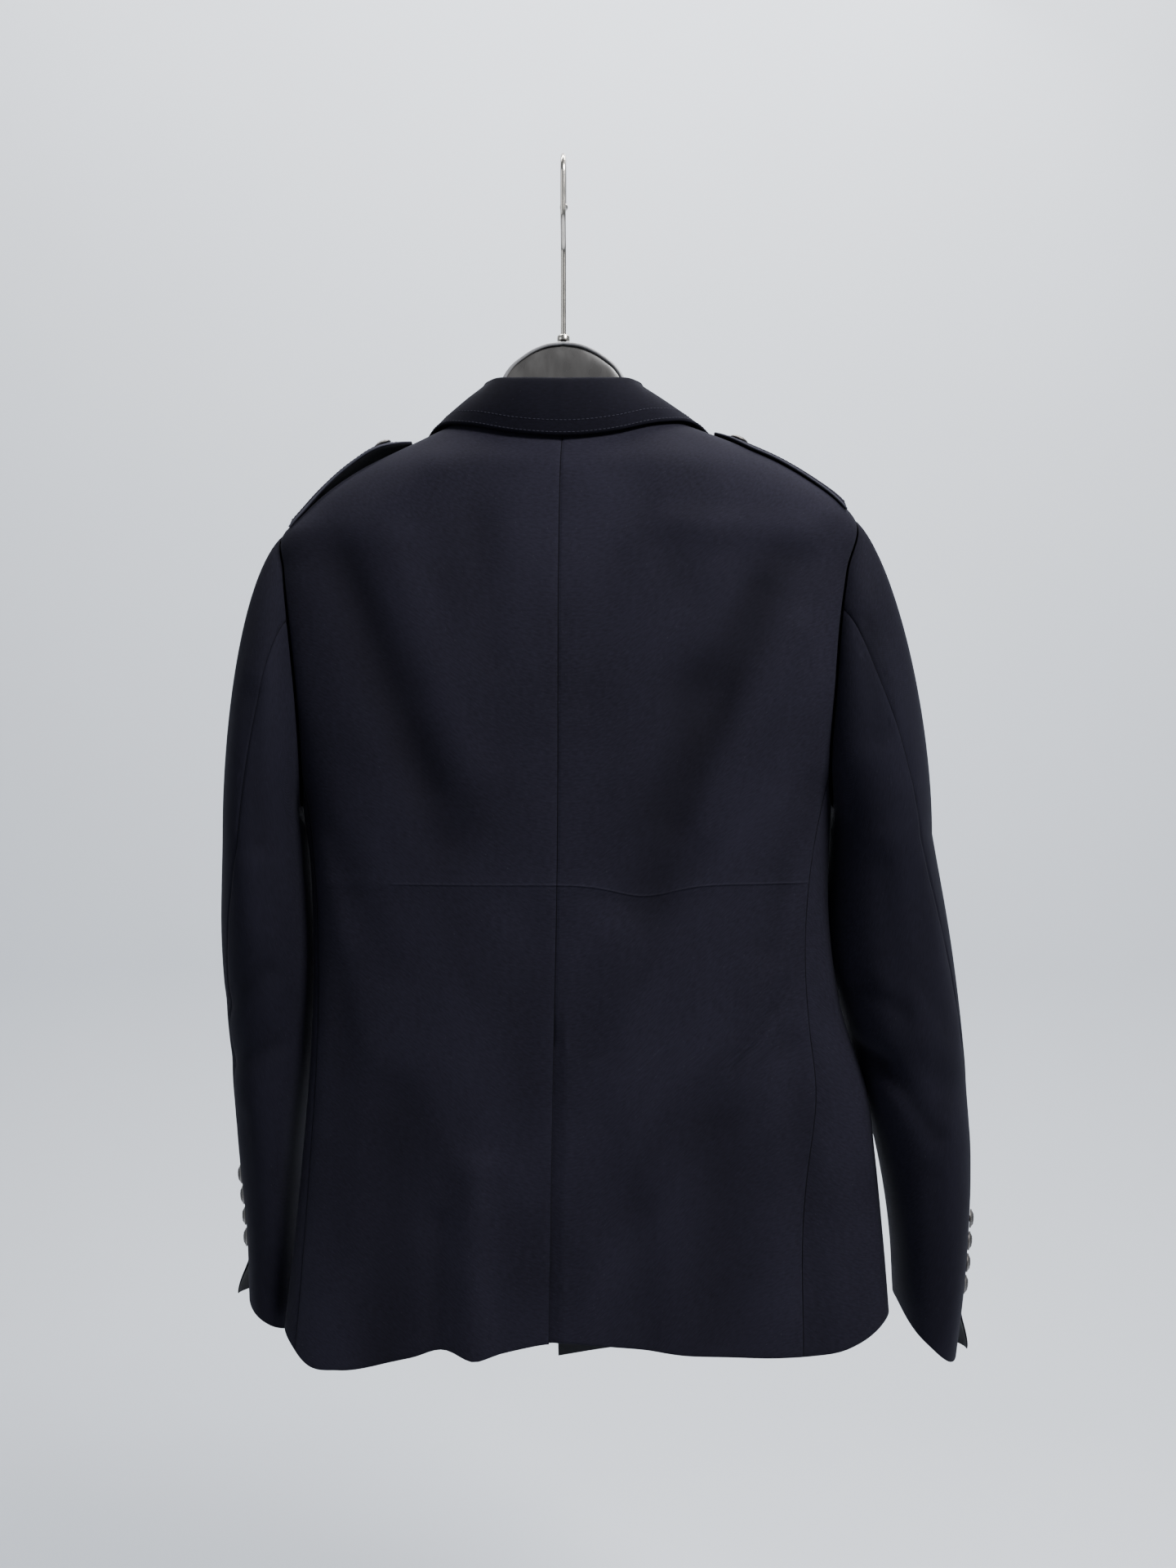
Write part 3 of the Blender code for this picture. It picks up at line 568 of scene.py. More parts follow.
@dataclass(frozen=True)
class WireFinish:
    """Polished warm steel wire with fine drawing lines."""

    name: str = "wire"
    colour: Triple = (0.66, 0.62, 0.56)

    def material(self) -> Material:
        """Metal whose gloss changes with faint wear along the wire.

        Returns:
            The material.
        """
        g = Graph(self.name)
        vector = g.place()
        lines = g.noise(vector, (900.0, 900.0, 60.0), 2.0)
        wear = g.noise(vector, (120.0, 120.0, 90.0), 4.0)
        base = g.mix(wear, rgba(self.colour, 0.85), rgba(self.colour, 1.08))
        g.feed(g.shader, {"Base Color": base, "Metallic": 1.0, "Roughness": 0.12 + 0.14 * wear,
                          "Normal": g.bump(lines, 0.00003, 0.35)})
        return g.material


@dataclass(frozen=True)
class ButtonFinish:
    """Aged silver metal, bright on the raised relief and dark in its hollows."""

    name: str = "aged_metal"
    bright: Triple = (0.47, 0.45, 0.43)
    dark: Triple = (0.075, 0.070, 0.068)

    def material(self) -> Material:
        """Tone from the relief's height, which each button keeps in its cloth map, and fine pits.

        Returns:
            The material.
        """
        g = Graph(self.name)
        relief = g.parts(g.map("cloth"))[0]
        pits = g.noise(g.place(), (1500.0, 1500.0, 1500.0), 3.0)
        wear = (relief + pits * 0.35).step(0.25, 0.85)
        g.feed(g.shader, {"Base Color": g.mix(wear, rgba(self.dark), rgba(self.bright)), "Metallic": 0.95,
                          "Roughness": 0.52 - 0.22 * wear, "Normal": g.bump(pits, 0.00006, 0.5)})
        return g.material


@dataclass
class Finishes:
    """One material of each finish."""

    wool: Material = field(default_factory=lambda: WoolFinish().material())
    creased: Material = field(
        default_factory=lambda: WoolFinish(name="creased_wool", crease=True).material())
    # Darker copy of the wool for the collar: painted shade.
    collar: Material = field(
        default_factory=lambda: WoolFinish(name="collar_wool_painted_shade", colour=(0.0040, 0.0038, 0.0070)).material())
    # Darker copy of the wool for the sleeves: painted shade.
    sleeve: Material = field(
        default_factory=lambda: WoolFinish(name="sleeve_wool_painted_shade", colour=(0.0064, 0.0061, 0.0106)).material())
    underside: Material = field(
        default_factory=lambda: WoolFinish(name="undercollar", colour=(0.0065, 0.0065, 0.009)).material())
    lining: Material = field(default_factory=lambda: LiningFinish().material())
    thread: Material = field(default_factory=lambda: ThreadFinish().material())
    piping: Material = field(
        default_factory=lambda: ThreadFinish(name="piping", colour=(0.030, 0.030, 0.042)).material())
    plastic: Material = field(default_factory=lambda: PlasticFinish().material())
    rim: Material = field(
        default_factory=lambda: PlasticFinish(name="moulded_rim", colour=(0.20, 0.20, 0.21)).material())
    wire: Material = field(default_factory=lambda: WireFinish().material())
    metal: Material = field(default_factory=lambda: ButtonFinish().material())


def add_mesh(name: str, points: Array, faces: Array, materials: list[Material],
             slots: Array | None = None, uv: Array | None = None, seam: Array | None = None,
             hollow: Array | None = None, sharp: float = 40.0) -> Item:
    """Puts arrays into a mesh object at the origin.

    Args:
        name: The object's name.
        points: Corners, one row each.
        faces: Corner numbers, four to a row, or three.
        materials: The object's materials.
        slots: Which material each face takes.
        uv: A place on the cloth for each corner, in metres.
        seam: Distances from the nearest seam and the nearest folded edge, which sets the painted shade
            along folded edges.
        hollow: How far folds move each corner out, which sets its painted shade, then 0.
        sharp: Angle in degrees past which an edge stays sharp.

    Returns:
        The object.
    """
    mesh = bpy.data.meshes.new(name)
    faces = np.asarray(faces, np.int32)
    size = faces.shape[1]
    mesh.vertices.add(len(points))
    mesh.vertices.foreach_set("co", np.ascontiguousarray(points, np.float32).ravel())
    mesh.loops.add(faces.size)
    mesh.loops.foreach_set("vertex_index", faces.ravel())
    mesh.polygons.add(len(faces))
    mesh.polygons.foreach_set("loop_start", np.arange(0, faces.size, size, dtype=np.int32))
    for material in materials:
        mesh.materials.append(material)
    if slots is not None:
        mesh.polygons.foreach_set("material_index", np.asarray(slots, np.int32))
    for layer, spots in (("cloth", uv), ("seam", seam), ("hollow", hollow)):
        if spots is not None:
            data = mesh.uv_layers.new(name=layer).data
            data.foreach_set("uv", np.ascontiguousarray(spots[faces.ravel()], np.float32).ravel())
    mesh.update(calc_edges=True)
    mesh.validate()
    mesh.shade_smooth()
    mesh.set_sharp_from_angle(angle=math.radians(sharp))
    item = bpy.data.objects.new(name, mesh)
    bpy.context.scene.collection.objects.link(item)
    return item


def settle(item: Item, slot: str, *nodes: str) -> Item:
    """Rides a piece on the one body and has it stand for nodes.

    Args:
        item: The piece.
        slot: Not used.
        nodes: The nodes that it stands for.

    Returns:
        The piece.
    """
    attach(item, "root")
    if nodes:
        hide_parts(*nodes)
    log.info("built %s with %d faces", item.name, len(item.data.polygons))
    return item


@dataclass
class ClothPiece:
    """A cut piece of cloth as a grid of outer points, with a wall behind it and shaped borders."""

    name: str
    points: Array
    normals: Array
    borders: tuple[Border, Border, Border, Border]
    outside: Material
    inside: Material
    thick: float = 0.0018
    seam_dip: float = 0.0008
    seam_reach: float = 0.0013
    pucker: float = 0.0005
    pucker_reach: float = 0.0075
    pucker_waves: Pair = (0.0117, 0.0053)
    pucker_shares: Triple = (0.5, 0.28, 0.22)
    fold_reach: float = 0.0016
    far: float = 0.05
    # How far folds move each place, and for body panels the painted shade under the arms; the wool darkens
    # by it as painted shade.
    folds: Array | None = None

    def away(self) -> list[Array]:
        """Distances from the first and last row and the first and last column."""
        down, across = lengths(self.points, 0), lengths(self.points, 1)
        return [down, down[-1:] - down, across, across[:, -1:] - across]

    def nearest(self, kind: Border) -> Array:
        """Distance from the nearest border of a kind, up to the far one."""
        found = [distance for border, distance in zip(self.borders, self.away()) if border is kind]
        return np.minimum.reduce([np.full(self.points.shape[:2], self.far), *found])

    def shaped(self) -> Array:
        """Outer points.

        Sewn borders dip as a narrow bell and a wide one that comes and goes along the seam, as
        sin(a) + sin(b) of two uneven lengths. Folded borders round over as a circle's end.

        Returns:
            The grid.
        """
        lines = lengths(self.points, 0), lengths(self.points, 1)
        drop = np.zeros(self.points.shape[:2])
        for k, (border, distance) in enumerate(zip(self.borders, self.away())):
            if border is Border.SEAM:
                run = lines[1] if k < 2 else lines[0]
                long, short = self.pucker_waves
                mean, one, two = self.pucker_shares
                uneven = mean + one * np.sin(run / long + k) + two * np.sin(run / short + 2 * k)
                drop = drop + self.seam_dip * np.exp(-(distance / self.seam_reach) ** 2) \
                    + self.pucker * uneven * np.exp(-(distance / self.pucker_reach) ** 2)
            elif border is Border.FOLD:
                share = np.clip(1 - distance / self.fold_reach, 0, 1)
                drop = drop + self.thick * 0.5 * (1 - np.sqrt(np.maximum(1 - share ** 2, 0)))
        return self.points - self.normals * np.minimum(drop, self.thick * 0.5)[..., None]

    def build(self) -> Item:
        """Returns:
            The piece.
        """
        outer = self.shaped()
        rows, columns = outer.shape[:2]
        count = rows * columns
        inner = self.points - self.normals * self.thick
        front = grid_faces(rows, columns)
        index = np.arange(count).reshape(rows, columns)
        rim = np.concatenate([index[0, :], index[1:, -1], index[-1, -2::-1], index[-2:0:-1, 0]])
        after = np.roll(rim, -1)
        sides = np.stack([rim, rim + count, after + count, after], -1)
        faces = np.concatenate([front, front[:, ::-1] + count, sides])
        one = self.points[1:, 1:] - self.points[:-1, :-1]
        two = self.points[1:, :-1] - self.points[:-1, 1:]
        if np.sum(np.cross(two, one) * self.normals[:-1, :-1]) > 0:
            faces = faces[:, ::-1]
        across, down = lengths(self.points, 1), lengths(self.points, 0)
        flat = np.stack([across - across[:, -1:] / 2, down], -1).reshape(-1, 2)
        slots = np.concatenate([np.zeros(len(front)), np.ones(len(front)), np.zeros(len(sides))])
        corners = np.concatenate([outer.reshape(-1, 3), inner.reshape(-1, 3)])
        seam = np.stack([self.nearest(Border.SEAM), self.nearest(Border.FOLD)], -1).reshape(-1, 2)
        # The hollow map: painted shade from the folds' hollows.
        folds = self.folds if self.folds is not None else np.zeros((rows, columns))
        hollow = np.stack([folds, 0 * folds], -1).reshape(-1, 2)
        item = add_mesh(self.name + "_cloth", corners, faces, [self.outside, self.inside], slots,
                        np.concatenate([flat, flat]), np.concatenate([seam, seam]),
                        np.concatenate([hollow, hollow]))
        area = grid_area(self.points)
        return settle(item, "cloth", self.name)


def grid_normals(points: Array, hint: Array) -> Array:
    """Normals from a grid's own slopes, on the side of the hint."""
    normals = unit(np.cross(np.gradient(points, axis=0), np.gradient(points, axis=1)))
    return normals * np.where(np.sum(normals * hint, -1, keepdims=True) < 0, -1.0, 1.0)


def creased(points: Array, hint: Array, back: Table = (), front: Table = ()) -> tuple[Array, Array, Array]:
    """Moves a grid along its normals by the folds drawn on its back and its front.

    Args:
        points: The grid.
        hint: Directions on the outer side.
        back: Folds on what faces +Y, by place across and up.
        front: Folds on what faces -Y.

    Returns:
        The moved grid, its normals and how far each place was moved.
    """
    normals = grid_normals(points, hint)
    x, z, facing = points[..., 0], points[..., 2], normals[..., 1]
    move = troughs(x, z, back) * ramp(facing, *FACING) + troughs(x, z, front) * ramp(-facing, *FACING)
    moved = points + normals * move[..., None]
    return moved, grid_normals(moved, normals), move


def resampled(rows: Array, shares: Array) -> Array:
    """Smooth curves through the rows of a grid: cubics whose slopes come from the rows beside them.

    Args:
        rows: The grid.
        shares: Where to read, as shares of the way from the first row to the last.

    Returns:
        A row of points for each share.
    """
    at = shares * (len(rows) - 1)
    i = np.clip(at.astype(int), 0, len(rows) - 2)
    t = (at - i).reshape(-1, *([1] * (rows.ndim - 1)))
    slope = np.gradient(rows, axis=0)
    start = (1 + 2 * t) * (1 - t) ** 2 * rows[i] + t * (1 - t) ** 2 * slope[i]
    return start + t * t * (3 - 2 * t) * rows[i + 1] - t * t * (1 - t) * slope[i + 1]


def tube(path: Array, radius: Array | float, sides: int = 12, wrap: bool = False) -> Arrays:
    """Round tube along a path: centre + radius * (cos(turn) * one + sin(turn) * two), square to it.

    Args:
        path: Centres.
        radius: One radius, or one for each centre.
        sides: Points in a ring.
        wrap: Whether the path is a loop; otherwise both ends close to a point.

    Returns:
        Points and faces.
    """
    run = unit(np.gradient(path, axis=0))
    if wrap:
        run = unit(np.roll(path, -1, 0) - np.roll(path, 1, 0))
    guide = np.array([0.0, 1.0, 0.0]) if np.abs(run[:, 1]).mean() < 0.6 else np.array([1.0, 0.0, 0.0])
    one = unit(np.cross(run, guide))
    two = np.cross(run, one)
    turn = np.linspace(0, 2 * np.pi, sides, endpoint=False)
    wide = np.broadcast_to(radius, (len(path),))[:, None, None]
    ring = np.cos(turn)[None, :, None] * one[:, None] + np.sin(turn)[None, :, None] * two[:, None]
    points = path[:, None] + ring * wide
    if wrap:
        points = np.concatenate([points, points[:1]])
        faces = grid_faces(len(points), sides, wrap=True)
        return points.reshape(-1, 3), faces[:, ::-1]
    ends = np.repeat(path[[0, -1], None], sides, 1)
    points = np.concatenate([ends[:1], points, ends[1:]])
    return points.reshape(-1, 3), grid_faces(len(points), sides, wrap=True)[:, ::-1]


def merged(parts: list[Arrays]) -> Arrays:
    """Several point and face arrays as one.

    Args:
        parts: Pairs of points and faces.

    Returns:
        All the points and all the faces.
    """
    starts = np.cumsum([0] + [len(points) for points, _ in parts[:-1]])
    return (np.concatenate([points for points, _ in parts]),
            np.concatenate([faces + start for (_, faces), start in zip(parts, starts)]))


@dataclass(frozen=True)
class Stitching:
    """Rows of stitches, each a short spindle pressed into the cloth."""

    length: float = 0.0024
    space: float = 0.0034
    radius: float = 0.00028
    sunk: float = 0.25
    rings: tuple[float, ...] = (-0.99, -0.75, 0.0, 0.75, 0.99)
    sides: int = 6

    def row(self, line: Array, normals: Array) -> Arrays:
        """Spindles along a line: radius * sqrt(1 - t^2) across and the length along.

        Args:
            line: Places down the row.
            normals: Directions out of the cloth there.

        Returns:
            Points and faces of every stitch.
        """
        run = lengths(line, 0)
        at = np.arange(self.space, run[-1] - self.space, self.space)
        centre = np.stack([np.interp(at, run, line[:, k]) for k in range(3)], -1)
        ahead = np.stack([np.interp(at + 0.0005, run, line[:, k]) for k in range(3)], -1)
        out = unit(np.stack([np.interp(at, run, normals[:, k]) for k in range(3)], -1))
        way = unit(ahead - centre)
        side = np.cross(way, out)
        t = np.array(self.rings)
        turn = np.linspace(0, 2 * np.pi, self.sides, endpoint=False)
        wide = self.radius * np.sqrt(1 - t ** 2)
        ring = np.cos(turn)[:, None] * side[:, None, None] + np.sin(turn)[:, None] * out[:, None, None]
        points = (centre + out * self.radius * self.sunk)[:, None, None] \
            + way[:, None, None] * (t * self.length / 2)[None, :, None, None] \
            + ring * wide[None, :, None, None]
        one = grid_faces(len(t), self.sides, wrap=True)
        faces = one[None] + (np.arange(len(at)) * len(t) * self.sides)[:, None, None]
        return points.reshape(-1, 3), faces.reshape(-1, 4)

    def build(self, name: str, rows: list[Arrays], material: Material) -> None:
        """One mesh of all rows.

        Args:
            name: The piece's name.
            rows: Each row's line and its normals.
            material: The thread.
        """
        points, faces = merged([self.row(line, normals) for line, normals in rows])
        settle(add_mesh(name, points, faces, [material]), "cloth")


@dataclass(frozen=True)
class BodyForm:
    """The body's shape: rounded sections whose widths and depths change down the garment."""

    neck: float = -0.203
    hem: float = -0.930
    wide: tuple[Table, Table] = (
        ((-0.203, 0.0710), (-0.226, 0.1170), (-0.249, 0.1625), (-0.267, 0.1885), (-0.285, 0.2080),
         (-0.298, 0.2210), (-0.330, 0.2260), (-0.370, 0.2268), (-0.420, 0.2225), (-0.453, 0.2176),
         (-0.500, 0.2090), (-0.560, 0.2005), (-0.620, 0.1985), (-0.700, 0.2000), (-0.780, 0.2060),
         (-0.860, 0.2140), (-0.930, 0.2215)),
        ((-0.203, 0.0720), (-0.219, 0.1170), (-0.241, 0.1690), (-0.260, 0.2015), (-0.272, 0.2180),
         (-0.285, 0.2300), (-0.330, 0.2315), (-0.370, 0.2300), (-0.420, 0.2265), (-0.490, 0.2150),
         (-0.530, 0.2115), (-0.600, 0.2105), (-0.672, 0.2200), (-0.743, 0.2415), (-0.792, 0.2475),
         (-0.860, 0.2535), (-0.930, 0.2585)))
    section: Table = (
        (-0.203, 0.043, 0.034, 2.1), (-0.240, 0.057, 0.050, 2.2), (-0.300, 0.067, 0.064, 2.4),
        (-0.400, 0.073, 0.076, 2.5), (-0.500, 0.070, 0.074, 2.4), (-0.600, 0.064, 0.066, 2.3),
        (-0.700, 0.062, 0.060, 2.3), (-0.800, 0.060, 0.056, 2.3), (-0.930, 0.060, 0.052, 2.3))
    back_hem: Table = (
        (-0.259, -0.914), (-0.242, -0.925), (-0.224, -0.932), (-0.168, -0.935), (-0.100, -0.931),
        (-0.044, -0.923), (0.010, -0.920), (0.045, -0.927), (0.067, -0.932), (0.090, -0.926),
        (0.117, -0.934), (0.173, -0.947), (0.200, -0.946), (0.222, -0.926))
    front_hem: tuple[Table, Table] = (
        ((-0.050, -0.955), (0.030, -0.952), (0.120, -0.948), (0.190, -0.940), (0.222, -0.926)),
        ((-0.259, -0.914), (-0.210, -0.938), (-0.100, -0.954), (-0.030, -0.963), (0.006, -0.969)))
    neck_drop: Pair = (0.019, 0.020)
    neck_fade: Pair = (-0.260, -0.203)
    hem_fade: Pair = (-0.780, -0.930)
    folds: Table = (
        (0.175, -0.314, 0.089, -0.533, 0.024, -0.0045), (-0.165, -0.323, -0.106, -0.428, 0.026, -0.0045),
        (-0.106, -0.428, -0.063, -0.579, 0.026, -0.0050), (-0.080, -0.300, -0.185, -0.306, 0.014, 0.0030),
        (0.067, -0.790, 0.067, -0.950, 0.014, 0.0060), (-0.120, -0.760, -0.130, -0.940, 0.030, -0.0040),
        (0.125, -0.740, 0.135, -0.940, 0.028, -0.0040))
    hole: tuple[Pair, Pair] = ((-0.297, -0.515), (-0.285, -0.515))
    hole_open: float = 24.0
    fold_facing: Pair = (0.05, 0.45)
    nudge: float = 0.002
    shoulder_foot: float = -0.32

    def half_width(self, height: Array, right: Array) -> Array:
        """Half width at heights, on the wearer's right where right is true."""
        return np.where(right, smooth(self.wide[1], height), smooth(self.wide[0], height))

    def surface(self, angle: Array, height: Array, side: int) -> Arrays:
        """Points and outward normals at angles from the centre back and nominal heights.

        Each level is |x / width|^n + |y / depth|^n = 1. The neck's middle drops as the angle's cosine
        squared, the hem follows its own curves, and the folds move the back out.

        Args:
            angle: Degrees round the body, 90 on the wearer's left.
            height: Nominal heights.
            side: Which front's hem to follow.

        Returns:
            Points and normals.
        """
        angle, height = np.broadcast_arrays(np.radians(angle), height)
        s, c = np.sin(angle), np.cos(angle)
        wide = self.half_width(height, s < 0)
        deep = np.where(c >= 0, smooth(self.section, height, 1), smooth(self.section, height, 2))
        power = smooth(self.section, height, 3)
        across = np.sign(s) * np.abs(s) ** (2 / power)
        through = np.sign(c) * np.abs(c) ** (2 / power)
        x, y = wide * across, deep * through
        drop = np.where(c >= 0, self.neck_drop[0] * c * c, self.neck_drop[1] * np.abs(c))
        hem = np.where(c >= 0, smooth(self.back_hem, x), smooth(self.front_hem[side < 0], x))
        z = height - drop * ramp(height, *self.neck_fade) + (hem - self.hem) * ramp(height, *self.hem_fade)
        y = y + troughs(x, z, self.folds) * ramp(c, *self.fold_facing)
        above, below = height + self.nudge, height - self.nudge
        wide_slope = (self.half_width(above, s < 0) - self.half_width(below, s < 0)) / (2 * self.nudge)
        deep_slope = np.where(c >= 0, self.slope(height, 1), self.slope(height, 2))
        out_x = np.sign(across) * np.abs(across) ** (power - 1) / wide
        out_y = np.sign(through) * np.abs(through) ** (power - 1) / deep
        out_z = -(np.abs(across) ** power * wide_slope / wide
                  + np.abs(through) ** power * deep_slope / deep)
        return np.stack([x, y, z], -1), unit(np.stack([out_x, out_y, out_z], -1))

    def slope(self, height: Array, column: int) -> Array:
        """Slope of a section's depth with height.

        Args:
            height: Nominal heights.
            column: The section table's column, 1 behind and 2 in front.

        Returns:
            The slopes.
        """
        above = smooth(self.section, height + self.nudge, column)
        below = smooth(self.section, height - self.nudge, column)
        return (above - below) / (2 * self.nudge)

    def back_angle(self, x: Array, height: Array) -> Array:
        """Angle round the body of a place across the back."""
        share = np.minimum(np.abs(x) / self.half_width(height, x < 0), 1)
        return np.sign(x) * np.degrees(np.arcsin(share ** (smooth(self.section, height, 3) / 2)))

    def front_angle(self, x: Array, height: Array) -> Array:
        """Angle round the body of a place across the front."""
        return np.where(x < 0, -180.0, 180.0) - self.back_angle(x, height)

    def armhole(self, side: int, turn: Array) -> Arrays:
        """The armhole's edge, an ellipse by angle and height.

        Args:
            side: 1 for the wearer's left.
            turn: Degrees round it: 0 at its top, 90 at its back, 180 underneath.

        Returns:
            Angles round the body and nominal heights.
        """
        top, foot = self.hole[side < 0]
        turn = np.radians(turn)
        height = (top + foot) / 2 + (top - foot) / 2 * np.cos(turn)
        return side * (90 - self.hole_open * np.sin(turn)), height

    def over_shoulder(self, side: int, x: Array, y: Array) -> Arrays:
        """The cloth over the shoulder, with each place's level found in twelve rounds.

        Args:
            side: 1 for the wearer's left.
            x: Distances out from the middle.
            y: Distances back.

        Returns:
            Points and normals.
        """
        heights = np.linspace(self.neck, self.shoulder_foot, 400)
        reach = smooth(self.wide[side < 0], heights)
        height = np.interp(x, reach, heights)
        for _ in range(12):
            deep = np.where(y >= 0, smooth(self.section, height, 1), smooth(self.section, height, 2))
            power = smooth(self.section, height, 3)
            through = np.minimum(np.abs(y) / deep, 0.95)
            height = np.interp(x / (1 - through ** power) ** (1 / power), reach, heights)
        angle = np.degrees(np.arccos(through ** (power / 2)))
        return self.surface(side * np.where(y >= 0, angle, 180 - angle), height, side)


@dataclass
class Panels:
    """The body's cut pieces: two backs, two sides and two fronts, with the seams between them."""

    form: BodyForm
    finish: Finishes
    centre_back: Table = ((-0.203, 0.000), (-0.236, 0.001), (-0.573, 0.004), (-0.696, 0.0064),
                          (-0.930, 0.010))
    underlap: float = 0.034
    vent_top: float = -0.690
    side_back: tuple[Table, Table] = (
        ((-0.492, 75.0), (-0.600, 75.0), (-0.930, 70.0)),
        ((-0.492, 75.0), (-0.530, 68.5), (-0.600, 62.0), (-0.680, 57.0), (-0.830, 45.0), (-0.930, 43.0)))
    side_front: tuple[Table, Table] = (((-0.492, 105.0), (-0.600, 108.0), (-0.930, 112.0)),
                                       ((-0.492, 105.0), (-0.600, 110.0), (-0.930, 120.0)))
    seam_turn: float = 141.5
    lean: float = -0.019
    overlap: float = 0.024
    roll_top: float = 0.062
    break_at: float = -0.600
    dive: float = LAYER + 0.0005
    dive_run: float = 0.010
    dive_overlap: Pair = (-0.034, -0.006)
    lap_below: Pair = (0.006, 0.020)
    lap_above: float = 0.030
    tuck: Pair = (0.001, 0.004)
    rows: tuple[int, int, int] = (26, 44, 100)
    columns: int = 52
    flap_columns: int = 14
    side_columns: int = 30
    level_rows: float = 8.0
    widths: Pair = (0.20, 0.24)
    side_lengths: Pair = (0.43, 0.42)
    # Painted shade under the arms: its depth, and the facings and heights over which it fades in.
    shade: float = 0.0085
    shade_facing: Pair = (0.15, 0.80)
    shade_heights: Pair = (-0.30, -0.50)
    back_creases: Table = (
        (0.187, -0.5722, -0.030, -0.5735, 0.0026, 0.0009),
        (-0.030, -0.5735, -0.062, -0.5810, 0.0030, 0.0009),
        (-0.062, -0.5810, -0.100, -0.5730, 0.0030, 0.0008),
        (-0.100, -0.5730, -0.184, -0.5710, 0.0026, 0.0008),
        (-0.131, -0.712, -0.1615, -0.669, 0.0055, -0.0016),
        (-0.139, -0.716, -0.169, -0.674, 0.0050, 0.0009),
        (0.168, -0.325, 0.102, -0.500, 0.014, -0.0026), (-0.150, -0.350, -0.084, -0.525, 0.014, -0.0026),
        (0.128, -0.315, 0.068, -0.490, 0.016, 0.0020), (-0.178, -0.380, -0.112, -0.530, 0.014, 0.0022),
        (0.060, -0.300, 0.052, -0.400, 0.014, -0.0016), (-0.045, -0.330, -0.020, -0.430, 0.016, -0.0014),
        (0.198, -0.505, 0.132, -0.640, 0.015, -0.0012), (0.186, -0.545, 0.150, -0.700, 0.010, 0.0012),
        (-0.196, -0.500, -0.158, -0.622, 0.014, -0.0024), (-0.184, -0.520, -0.170, -0.640, 0.009, 0.0014),
        (0.100, -0.252, 0.168, -0.318, 0.016, 0.0018), (0.054, -0.262, 0.104, -0.420, 0.022, -0.0016),
        (-0.050, -0.255, -0.096, -0.352, 0.018, -0.0016), (0.020, -0.600, 0.034, -0.760, 0.020, -0.0016),
        (-0.040, -0.610, -0.052, -0.780, 0.017, 0.0014), (0.168, -0.640, 0.176, -0.860, 0.016, -0.0022),
        (-0.180, -0.700, -0.196, -0.930, 0.014, -0.0024), (0.094, -0.830, 0.098, -0.950, 0.010, -0.0024),
        (-0.060, -0.820, -0.066, -0.940, 0.015, -0.0022), (-0.020, -0.850, -0.022, -0.940, 0.010, 0.0014))
    front_creases: Table = (
        (0.190, -0.470, 0.130, -0.600, 0.015, -0.0028), (-0.196, -0.470, -0.140, -0.590, 0.017, -0.0030),
        (0.120, -0.640, 0.060, -0.720, 0.016, -0.0018), (-0.130, -0.700, -0.120, -0.930, 0.024, -0.0028),
        (0.150, -0.740, 0.158, -0.940, 0.020, -0.0030), (0.040, -0.800, 0.046, -0.950, 0.018, 0.0018),
        (0.180, -0.300, 0.130, -0.380, 0.018, 0.0020), (-0.180, -0.300, -0.132, -0.372, 0.016, 0.0022),
        (0.176, -0.571, 0.030, -0.574, 0.0028, 0.0008), (-0.180, -0.572, -0.030, -0.575, 0.0028, 0.0007))

    def edge_heights(self, side: int, turns: Array, seam: Table) -> Arrays:
        """A panel's outer side: shoulder seam, armhole, side seam.

        Args:
            side: 1 for the wearer's left.
            turns: Degrees round the armhole's edge that the panel follows.
            seam: The side seam's angles by height.

        Returns:
            Nominal heights and the edge's angles there.
        """
        top = self.form.hole[side < 0][0]
        shoulder = np.linspace(self.form.neck, top, self.rows[0] + 1)[:-1]
        angle, height = self.form.armhole(side, turns)
        down = close_ends(self.rows[2], (False, True), self.side_lengths[0])[1:]
        lower = height[-1] + (self.form.hem - height[-1]) * down
        edges = np.concatenate([np.full(self.rows[0], 90.0 * side), angle, side * smooth(seam, lower)])
        return np.concatenate([shoulder, height, lower]), edges

    def piece(self, name: str, points: Array, hint: Array) -> None:
        """Folds a panel's grid and builds it, sewn on three sides and turned up at the hem, with painted
        shade in its folds and under the arms.

        Args:
            name: The node that it stands for.
            points: The grid.
            hint: Directions on its outer side.
        """
        points, normals, move = creased(points, hint, self.back_creases, self.front_creases)
        x, z, facing = points[..., 0], points[..., 2], normals[..., 1]
        # Painted shade: the body's folds, which its shape already has, and sideways-facing cloth under the
        # arms darken the panel.
        move = move + troughs(x, z, self.form.folds) * ramp(facing, *FACING)
        under_arm = (1 - ramp(np.abs(facing), *self.shade_facing)) * ramp(z, *self.shade_heights)
        move = move - self.shade * under_arm
        borders = (Border.SEAM, Border.FOLD, Border.SEAM, Border.SEAM)
        outside = self.finish.creased if name.startswith("back") else self.finish.wool
        ClothPiece(name, points, normals, borders, outside, self.finish.lining, folds=move).build()

